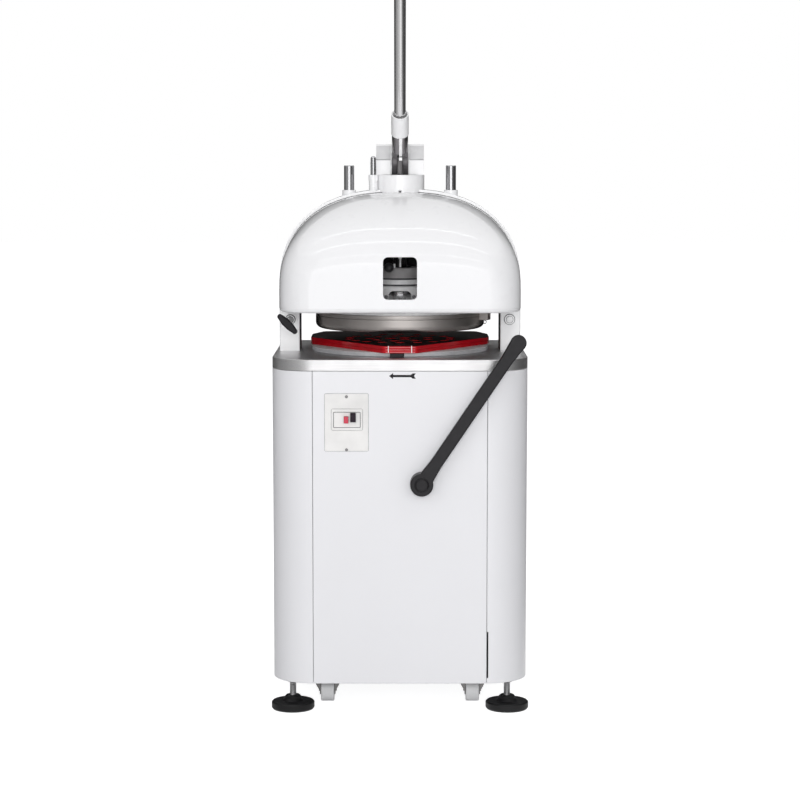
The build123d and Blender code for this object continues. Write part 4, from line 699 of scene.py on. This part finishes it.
window_outline = rounded(0, 1086.5, 84, 105, 12)
for side, sign in (("front", -1), ("rear", 1)):
    cutters = [round_cut(f"{side}_neck_cut", 0, 0, NECK_CUT)]
    if side == "front":
        cutters.append(round_cut("sleeve_cut", SLEEVE_X, SLEEVE_Y, SLEEVE_CUT))
        cutters.append(slab("window_cut", window_outline, WINDOW_FRONT, WINDOW_BACK))
    shell = carved(f"{side}_cover_shell", dome_blank(f"{side}_blank", sign), cutters)
    piece(shell, finishes["dome_white"], "cabinet", [f"{side}_cover"])
    piece(dome_lip(f"{side}_cover_lip", sign), finishes["dome_white"], "cabinet")
    piece(dome_seal(f"{side}_cover_seal", sign), gasket, "cabinet")

# Bell and press head: three pairs of bolts, and the centre marks of the two guide posts
BOLT_PAIRS, BOLT_SPREAD = (270, 30, 150), 32.7
BOLT_OUT, BOLT_Z, POST_X = 62.5, 1027.5, 131
bolt_profile = [(0, 0), (5, 0), (5, 5), (4.2, 5.8), (2.6, 5.8), (2.6, 3), (0, 3)]
bolt_bearings = [pair + turn for pair in BOLT_PAIRS for turn in (-BOLT_SPREAD, BOLT_SPREAD)]
for k, bearing in enumerate(bolt_bearings):
    out = Vector((math.cos(math.radians(bearing)), math.sin(math.radians(bearing)), 0))
    place = out * BOLT_OUT + Vector((0, 0, BOLT_Z))
    bolt = turned_shape(f"bell_bolt_{k + 1}", place, out, bolt_profile, 24)
    piece(bolt, steel, "press_head")
post_top = 1000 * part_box("guide_posts")[1].z
centre_profile = [(0, 0), (3.4, 0), (3.0, 0.15), (0, 0.15)]
for side, sign in SIDES:
    centre = turned_shape(f"post_centre_{side}", (sign * POST_X, 0, post_top), UP, centre_profile)
    piece(centre, black, "press_head")

# Dark seals above and below the plunger's flange
flange_profile = [(44, 0), (60.5, 0), (60.5, 3.4), (44, 3.4)]
for name, bottom in (("lower", 1055.9), ("upper", 1071.6)):
    flange_seal = turned_shape(f"flange_seal_{name}", (0, 0, bottom), UP, flange_profile)
    piece(flange_seal, gasket, "press_head")

# A black sheet behind the press head as painted shade, a white rod beside the plunger as a painted highlight,
# and a stop on the release collar
shade_outline = [(-150, 1078), (150, 1078), (150, 1200), (110, 1232), (-110, 1232), (-150, 1200)]
piece(slab("chamber_painted_shade", shade_outline, 148, 150, 0.5), black, "cabinet")
# White rod beside the plunger: a painted highlight.
highlight_profile = [(0, 0), (2.6, 0), (2.6, 20), (4.6, 22), (5.2, 25), (4.6, 28), (2.6, 30), (2.6, 42), (0, 42)]
rod_highlight = turned_shape("plunger_painted_highlight", (0.5, -26, 1103), UP, highlight_profile, 24)
piece(rod_highlight, gloss_white_painted_light, "press_head")
stop_profile = [(0, 0), (2.6, 0), (2.6, 10.5), (2.0, 11.2), (0, 11.2)]
release_stop = turned_shape("release_stop", (-14.3, -54, 1101.6), UP, stop_profile, 20)
piece(release_stop, gloss_white_painted_light, "knife_release")

# Press lever: ribs on the grip, and a straight tube round the hub with a white strip on it, which is a
# painted highlight
LEAN = math.radians(37)
HUB_RADIUS, HUB_WALL, SHELL_STEPS = 20.6, 1.2, 24
RIB_COUNT, RIB_START, RIB_PITCH = 9, -56, 13
HIGHLIGHT_LOW, HIGHLIGHT_HIGH, HIGHLIGHT_LEFT, HIGHLIGHT_RIGHT = 50, 106, -2.5, 5.5
lever_way = Vector((0, -math.sin(LEAN), math.cos(LEAN)))
front_way = Vector((0, -math.cos(LEAN), -math.sin(LEAN)))
pivot = Vector((0, 0, PIVOT_Z))
grip_low, grip_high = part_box("lever_grip")
grip_middle = 500 * (grip_low + grip_high)
rib_profile = [(17.5, -2.2), (19.4, -1.4), (19.8, 0), (19.4, 1.4), (17.5, 2.2)]
for k in range(RIB_COUNT):
    place = grip_middle + lever_way * (RIB_START + RIB_PITCH * k)
    rib = turned_shape(f"grip_rib_{k + 1}", place, lever_way, rib_profile)
    piece(rib, finishes["black_rubber"], "press_lever")
# White strip on the front of the hub: a painted highlight.
highlight_points = []
for x, along in (
    (HIGHLIGHT_LEFT, HIGHLIGHT_LOW), (HIGHLIGHT_RIGHT, HIGHLIGHT_LOW), (HIGHLIGHT_RIGHT, HIGHLIGHT_HIGH), (HIGHLIGHT_LEFT, HIGHLIGHT_HIGH)
):
    out = math.sqrt(HUB_RADIUS**2 - x**2) - 0.4
    highlight_points.append(Vector((x, 0, PIVOT_Z)) + lever_way * along + front_way * out)
piece(prism("hub_painted_highlight", highlight_points, front_way * 1.0, 0.2), gloss_white_painted_light, "press_lever")
for name, low, high, start, end, finish in (
    ("upper", 55, 106.4, -88, 88, hub_steel),
    ("left", -2, 55, -88, -22.5, hub_grey),
    ("right", -2, 55, 22.5, 88, hub_grey),
):
    path, normals = [], []
    for step in range(SHELL_STEPS + 1):
        angle = math.radians(start + (end - start) * step / SHELL_STEPS)
        normal = Vector((math.sin(angle), 0, 0)) + front_way * math.cos(angle)
        normals.append(normal)
        path.append(pivot + normal * HUB_RADIUS)
    shell_profile = [(0, low), (0, high), (HUB_WALL, high), (HUB_WALL, low)]
    shell = swept(f"hub_shell_{name}", path, normals, shell_profile, lever_way)
    piece(shell, finish, "press_lever")

# Front of the plunger's tongue, with a white patch at its top that is a painted highlight
TONGUE_FRONT, TONGUE_BACK = -47.5, -46.8
face_outline = rounded(0, 1357.4, 13.2, 34.8, 1.0)
tongue_face = slab("tongue_face", face_outline, TONGUE_FRONT, TONGUE_BACK, 0.1)
piece(tongue_face, tongue_steel, "press_head")
# White patch at the top of the tongue: a painted highlight.
highlight_outline = rounded(1.5, 1379.4, 8.0, 8.4, 0.8, 3)
tongue_painted_highlight = slab("tongue_painted_highlight", highlight_outline, TONGUE_FRONT, TONGUE_BACK, 0.1)
piece(tongue_painted_highlight, gloss_white_painted_light, "press_head")

# Adjuster: collars on its rod and rings on its sleeve
ROD_X, ROD_Y, ROD_RINGS = -68.274, -32, 4
COLLAR_Z, COLLAR_PITCH, SLEEVE_Z, SLEEVE_PITCH = 1342.5, 8.4, 1303, 5.5
rod_profile = [(6.8, -3.4), (7.3, -3.2), (7.3, 3.2), (6.8, 3.4)]
sleeve_profile = [(10.8, -1.2), (11.7, -0.8), (11.7, 0.8), (10.8, 1.2)]
for k in range(ROD_RINGS):
    place = (ROD_X, ROD_Y, COLLAR_Z + COLLAR_PITCH * k)
    rod_collar = turned_shape(f"rod_collar_{k + 1}", place, UP, rod_profile)
    piece(rod_collar, steel, "adjuster_rod")
for k in range(ROD_RINGS):
    place = (ROD_X, ROD_Y, SLEEVE_Z + SLEEVE_PITCH * k)
    sleeve_ring = turned_shape(f"sleeve_ring_{k + 1}", place, UP, sleeve_profile)
    piece(sleeve_ring, gloss_white_painted_light, "cabinet")

# Rounding lever and moulding plate
LEVER_X, LEVER_Z = 53.5, 582
NOSE_Y, PIN_X, PIN_BOTTOM = -240, 29, 900
NOSE_GLINTS = (901.5, 907.5, 913.5)
lever_front = 1000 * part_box("round_lever_arm")[0].y
cap_profile = [(13.2, 0), (15.4, 0), (15.2, 0.5), (13.4, 0.5)]
cap_ring = turned_shape("lever_cap_ring", (LEVER_X, lever_front, LEVER_Z), FORWARD, cap_profile)
piece(cap_ring, black, "rounding_lever")
pin_profile = [(0, 0), (1.2, 0), (1.2, 17), (0.7, 17.6), (0, 17.6)]
# Real pins, made white so that they show as bright lines: painted glints.
for side, sign in SIDES:
    pin_place = (sign * PIN_X, NOSE_Y - 0.3, PIN_BOTTOM)
    pin = turned_shape(f"plate_pin_painted_glint_{side}", pin_place, UP, pin_profile, 12)
    piece(pin, gloss_white_painted_light, "rounding_table")
# Pinkish strips on the nose: painted glints.
for k, glint_z in enumerate(NOSE_GLINTS):
    glint_outline = rounded(1, glint_z, 74, 1.0, 0.4, 3)
    glint = slab(f"nose_painted_glint_{k + 1}", glint_outline, NOSE_Y - 0.8, NOSE_Y + 0.1)
    piece(glint, painted_glint_pink, "rounding_table")


# Stage, in metres: a pale floor, a white surround, soft lamps and studio walls that only show in reflections
WHITE = (1, 1, 1, 1)
FLOOR_REACH, FLOOR_Z, FLOOR_GLOW = 30.0, -0.0005, 0.87
WORLD_LIGHT, WORLD_SEEN = 0.4, 1.0


def square(reach, z):
    """Corners of a level square about the origin."""
    return [(-reach, -reach, z), (reach, -reach, z), (reach, reach, z), (-reach, reach, z)]


def on_sight(tree, target, unseen, seen):
    """Strength of a white surface for light, and for what the camera, mirrors and glass see."""
    path = tree.nodes.new("ShaderNodeLightPath")
    first = tree.nodes.new("ShaderNodeMath")
    first.operation = "MAXIMUM"
    second = tree.nodes.new("ShaderNodeMath")
    second.operation = "MAXIMUM"
    tree.links.new(path.outputs["Is Camera Ray"], first.inputs[0])
    tree.links.new(path.outputs["Is Glossy Ray"], first.inputs[1])
    tree.links.new(first.outputs[0], second.inputs[0])
    tree.links.new(path.outputs["Is Transmission Ray"], second.inputs[1])
    scaled = tree.nodes.new("ShaderNodeMapRange")
    scaled.inputs["To Min"].default_value = unseen
    scaled.inputs["To Max"].default_value = seen
    tree.links.new(second.outputs[0], scaled.inputs["Value"])
    tree.links.new(scaled.outputs["Result"], target)


floor_mesh = bpy.data.meshes.new("floor")
floor_mesh.from_pydata(square(FLOOR_REACH, FLOOR_Z), [], [(0, 1, 2, 3)])
floor = bpy.data.objects.new("floor", floor_mesh)
scene.collection.objects.link(floor)
floor_material = bpy.data.materials.new("pale_floor")
floor_material.use_nodes = True
floor_tree = floor_material.node_tree
floor_shader = floor_tree.nodes["Principled BSDF"]
floor_shader.inputs["Base Color"].default_value = (0.62, 0.62, 0.63, 1)
floor_shader.inputs["Roughness"].default_value = 0.9
floor_shader.inputs["Specular IOR Level"].default_value = 0.0
floor_shader.inputs["Emission Color"].default_value = WHITE
on_sight(floor_tree, floor_shader.inputs["Emission Strength"], 0.0, FLOOR_GLOW)
floor_mesh.materials.append(floor_material)

world = bpy.data.worlds.new("studio")
scene.world = world
world.use_nodes = True
background = world.node_tree.nodes["Background"]
background.inputs["Color"].default_value = WHITE
on_sight(world.node_tree, background.inputs["Strength"], WORLD_LIGHT, WORLD_SEEN)


def soft_light(name, place, aim, size, power):
    """Rectangular lamp that does not show in reflections."""
    lamp = bpy.data.lights.new(name, "AREA")
    lamp.shape = "RECTANGLE"
    lamp.size, lamp.size_y = size
    lamp.energy = power
    obj = bpy.data.objects.new(name, lamp)
    scene.collection.objects.link(obj)
    obj.location = place
    obj.rotation_euler = (Vector(aim) - Vector(place)).to_track_quat("-Z", "Y").to_euler()
    obj.visible_glossy = False


soft_light("key", (-2.2, -4.9, 2.2), (0, 0, 1.0), (4.6, 3.6), 50)
soft_light("fill", (2.2, -4.9, 2.1), (0, 0, 0.9), (4.6, 3.6), 47)
soft_light("front", (0, -6.3, 1.7), (0, 0, 1.0), (1.5, 1.1), 108)
soft_light("top", (0, 0.4, 4.2), (0, 0, 1.0), (2.6, 1.8), 20)
soft_light("back", (0, 5.4, 2.2), (0, 0, 0.9), (5.0, 3.6), 70)

POOL_REACH, POOL_Z, POOL_LEVEL = 4.0, 0.004, 1.1
WALL_RADIUS, WALL_TOP, WALL_STEP = 4.2, 4.5, 5
WALL_SPLIT = 1.05  # height between the low and the high walls
FRONT_Y, FRONT_BOTTOM, FRONT_TOP, RIM_TOP = -7.0, 0.02, 2.4, 2.75
FRONT_HALF, RIM_HALF, FRONT_LEVEL, RIM_LEVEL = 1.5, 1.8, 1.9, 3.2
TUBE_Z = 3.4


def glow(name, points, faces, level, ramp=None):
    """Part of the studio that shows in reflections alone; a ramp of (x, tone) runs across the pool."""
    mesh = bpy.data.meshes.new(name)
    mesh.from_pydata(points, [], faces)
    material = bpy.data.materials.new(name)
    material.use_nodes = True
    tree = material.node_tree
    shader = tree.nodes["Principled BSDF"]
    shader.inputs["Base Color"].default_value = (0.0, 0.0, 0.0, 1)
    shader.inputs["Specular IOR Level"].default_value = 0.0
    shader.inputs["Emission Color"].default_value = WHITE
    shader.inputs["Emission Strength"].default_value = level
    if ramp:
        split = tree.nodes.new("ShaderNodeSeparateXYZ")
        tree.links.new(tree.nodes.new("ShaderNodeTexCoord").outputs["Object"], split.inputs["Vector"])
        place = tree.nodes.new("ShaderNodeMapRange")
        place.inputs["From Min"].default_value = -POOL_REACH
        place.inputs["From Max"].default_value = POOL_REACH
        tree.links.new(split.outputs["X"], place.inputs["Value"])
        tone = tree.nodes.new("ShaderNodeValToRGB")
        elements = tone.color_ramp.elements
        while len(elements) < len(ramp):
            elements.new(0.5)
        for element, (x, value) in zip(elements, ramp):
            element.position = (x + POOL_REACH) / (2 * POOL_REACH)
            element.color = (value, value, value, 1.0)
        tree.links.new(place.outputs["Result"], tone.inputs["Fac"])
        tree.links.new(tone.outputs["Color"], shader.inputs["Emission Color"])
    mesh.materials.append(material)
    obj = bpy.data.objects.new(name, mesh)
    scene.collection.objects.link(obj)
    obj.visible_camera = False
    obj.visible_diffuse = False
    obj.visible_shadow = False


def studio_wall(name, start, end, level, bottom=0.0, top=WALL_TOP):
    """Upright wall round the object between two bearings, in degrees to the right of the front."""
    steps = max(2, int(abs(end - start) / WALL_STEP))
    points = []
    for step in range(steps + 1):
        bearing = math.radians(start + (end - start) * step / steps)
        x, y = WALL_RADIUS * math.sin(bearing), -WALL_RADIUS * math.cos(bearing)
        points += [(x, y, bottom), (x, y, top)]
    glow(name, points, [(2 * k, 2 * k + 2, 2 * k + 3, 2 * k + 1) for k in range(steps)], level)


def front_panel(name, left, right, bottom, top, level):
    """Upright panel behind the camera."""
    points = [(left, FRONT_Y, bottom), (right, FRONT_Y, bottom), (right, FRONT_Y, top), (left, FRONT_Y, top)]
    glow(name, points, [(0, 1, 2, 3)], level)


def ceiling_tube(name, left, right, near, far, level):
    """Level strip under the ceiling."""
    points = [(left, near, TUBE_Z), (right, near, TUBE_Z), (right, far, TUBE_Z), (left, far, TUBE_Z)]
    glow(name, points, [(0, 1, 2, 3)], level)


studio_wall("wall_grey_low", -45, -16, 0.58, top=WALL_SPLIT)
studio_wall("wall_grey_side", -71, -45, 0.42, top=WALL_SPLIT)
studio_wall("wall_grey_high", -71, -16, 0.42, bottom=WALL_SPLIT)
studio_wall("wall_left", -110, -71, 0.25)
studio_wall("wall_left_back", -165, -110, 0.02)
studio_wall("wall_right_low", 42, 56, 0.58, top=WALL_SPLIT)
studio_wall("wall_right_side", 56, 76, 0.26, top=WALL_SPLIT)
studio_wall("wall_right_high", 30, 76, 0.1, bottom=WALL_SPLIT)
studio_wall("wall_right", 76, 165, 0.07)
studio_wall("wall_back", 165, 195, 0.06)
front_panel("front_panel_light", -FRONT_HALF, FRONT_HALF, FRONT_BOTTOM, FRONT_TOP, FRONT_LEVEL)
front_panel("front_rim_top", -RIM_HALF, RIM_HALF, FRONT_TOP, RIM_TOP, RIM_LEVEL)
front_panel("front_rim_left", -RIM_HALF, -FRONT_HALF, FRONT_BOTTOM, FRONT_TOP, RIM_LEVEL)
front_panel("front_rim_right", FRONT_HALF, RIM_HALF, FRONT_BOTTOM, FRONT_TOP, RIM_LEVEL)
ceiling_tube("tube_near", -1.4, 1.0, -1.06, -0.98, 5.0)
ceiling_tube("tube_middle", -1.6, 1.6, -2.36, -2.24, 5.0)
ceiling_tube("tube_far", -2.0, 2.0, -4.88, -4.67, 4.0)
pool_ramp = [
    (-4.0, 0.2), (-2.8, 0.26), (-1.75, 0.34), (-1.05, 0.46), (-0.5, 0.58), (0.0, 0.75),
    (0.3, 1.0), (0.6, 1.0), (0.95, 0.42), (1.6, 0.12), (2.6, 0.06),
]
glow("floor_pool", square(POOL_REACH, POOL_Z), [(0, 1, 2, 3)], POOL_LEVEL, pool_ramp)

# Camera, as solved from the photo
CAMERA_PLACE, CAMERA_TILT, CAMERA_LENS, CAMERA_SENSOR = (0.0, -5.8, 1.39), 6.24, 100.9, 36.0
camera_data = bpy.data.cameras.new("camera")
camera_data.sensor_width = CAMERA_SENSOR
camera_data.lens = CAMERA_LENS
camera = bpy.data.objects.new("camera", camera_data)
scene.collection.objects.link(camera)
camera.location = CAMERA_PLACE
camera.rotation_euler = (math.radians(90 - CAMERA_TILT), 0, 0)
scene.camera = camera
scene.view_settings.view_transform = "Standard"
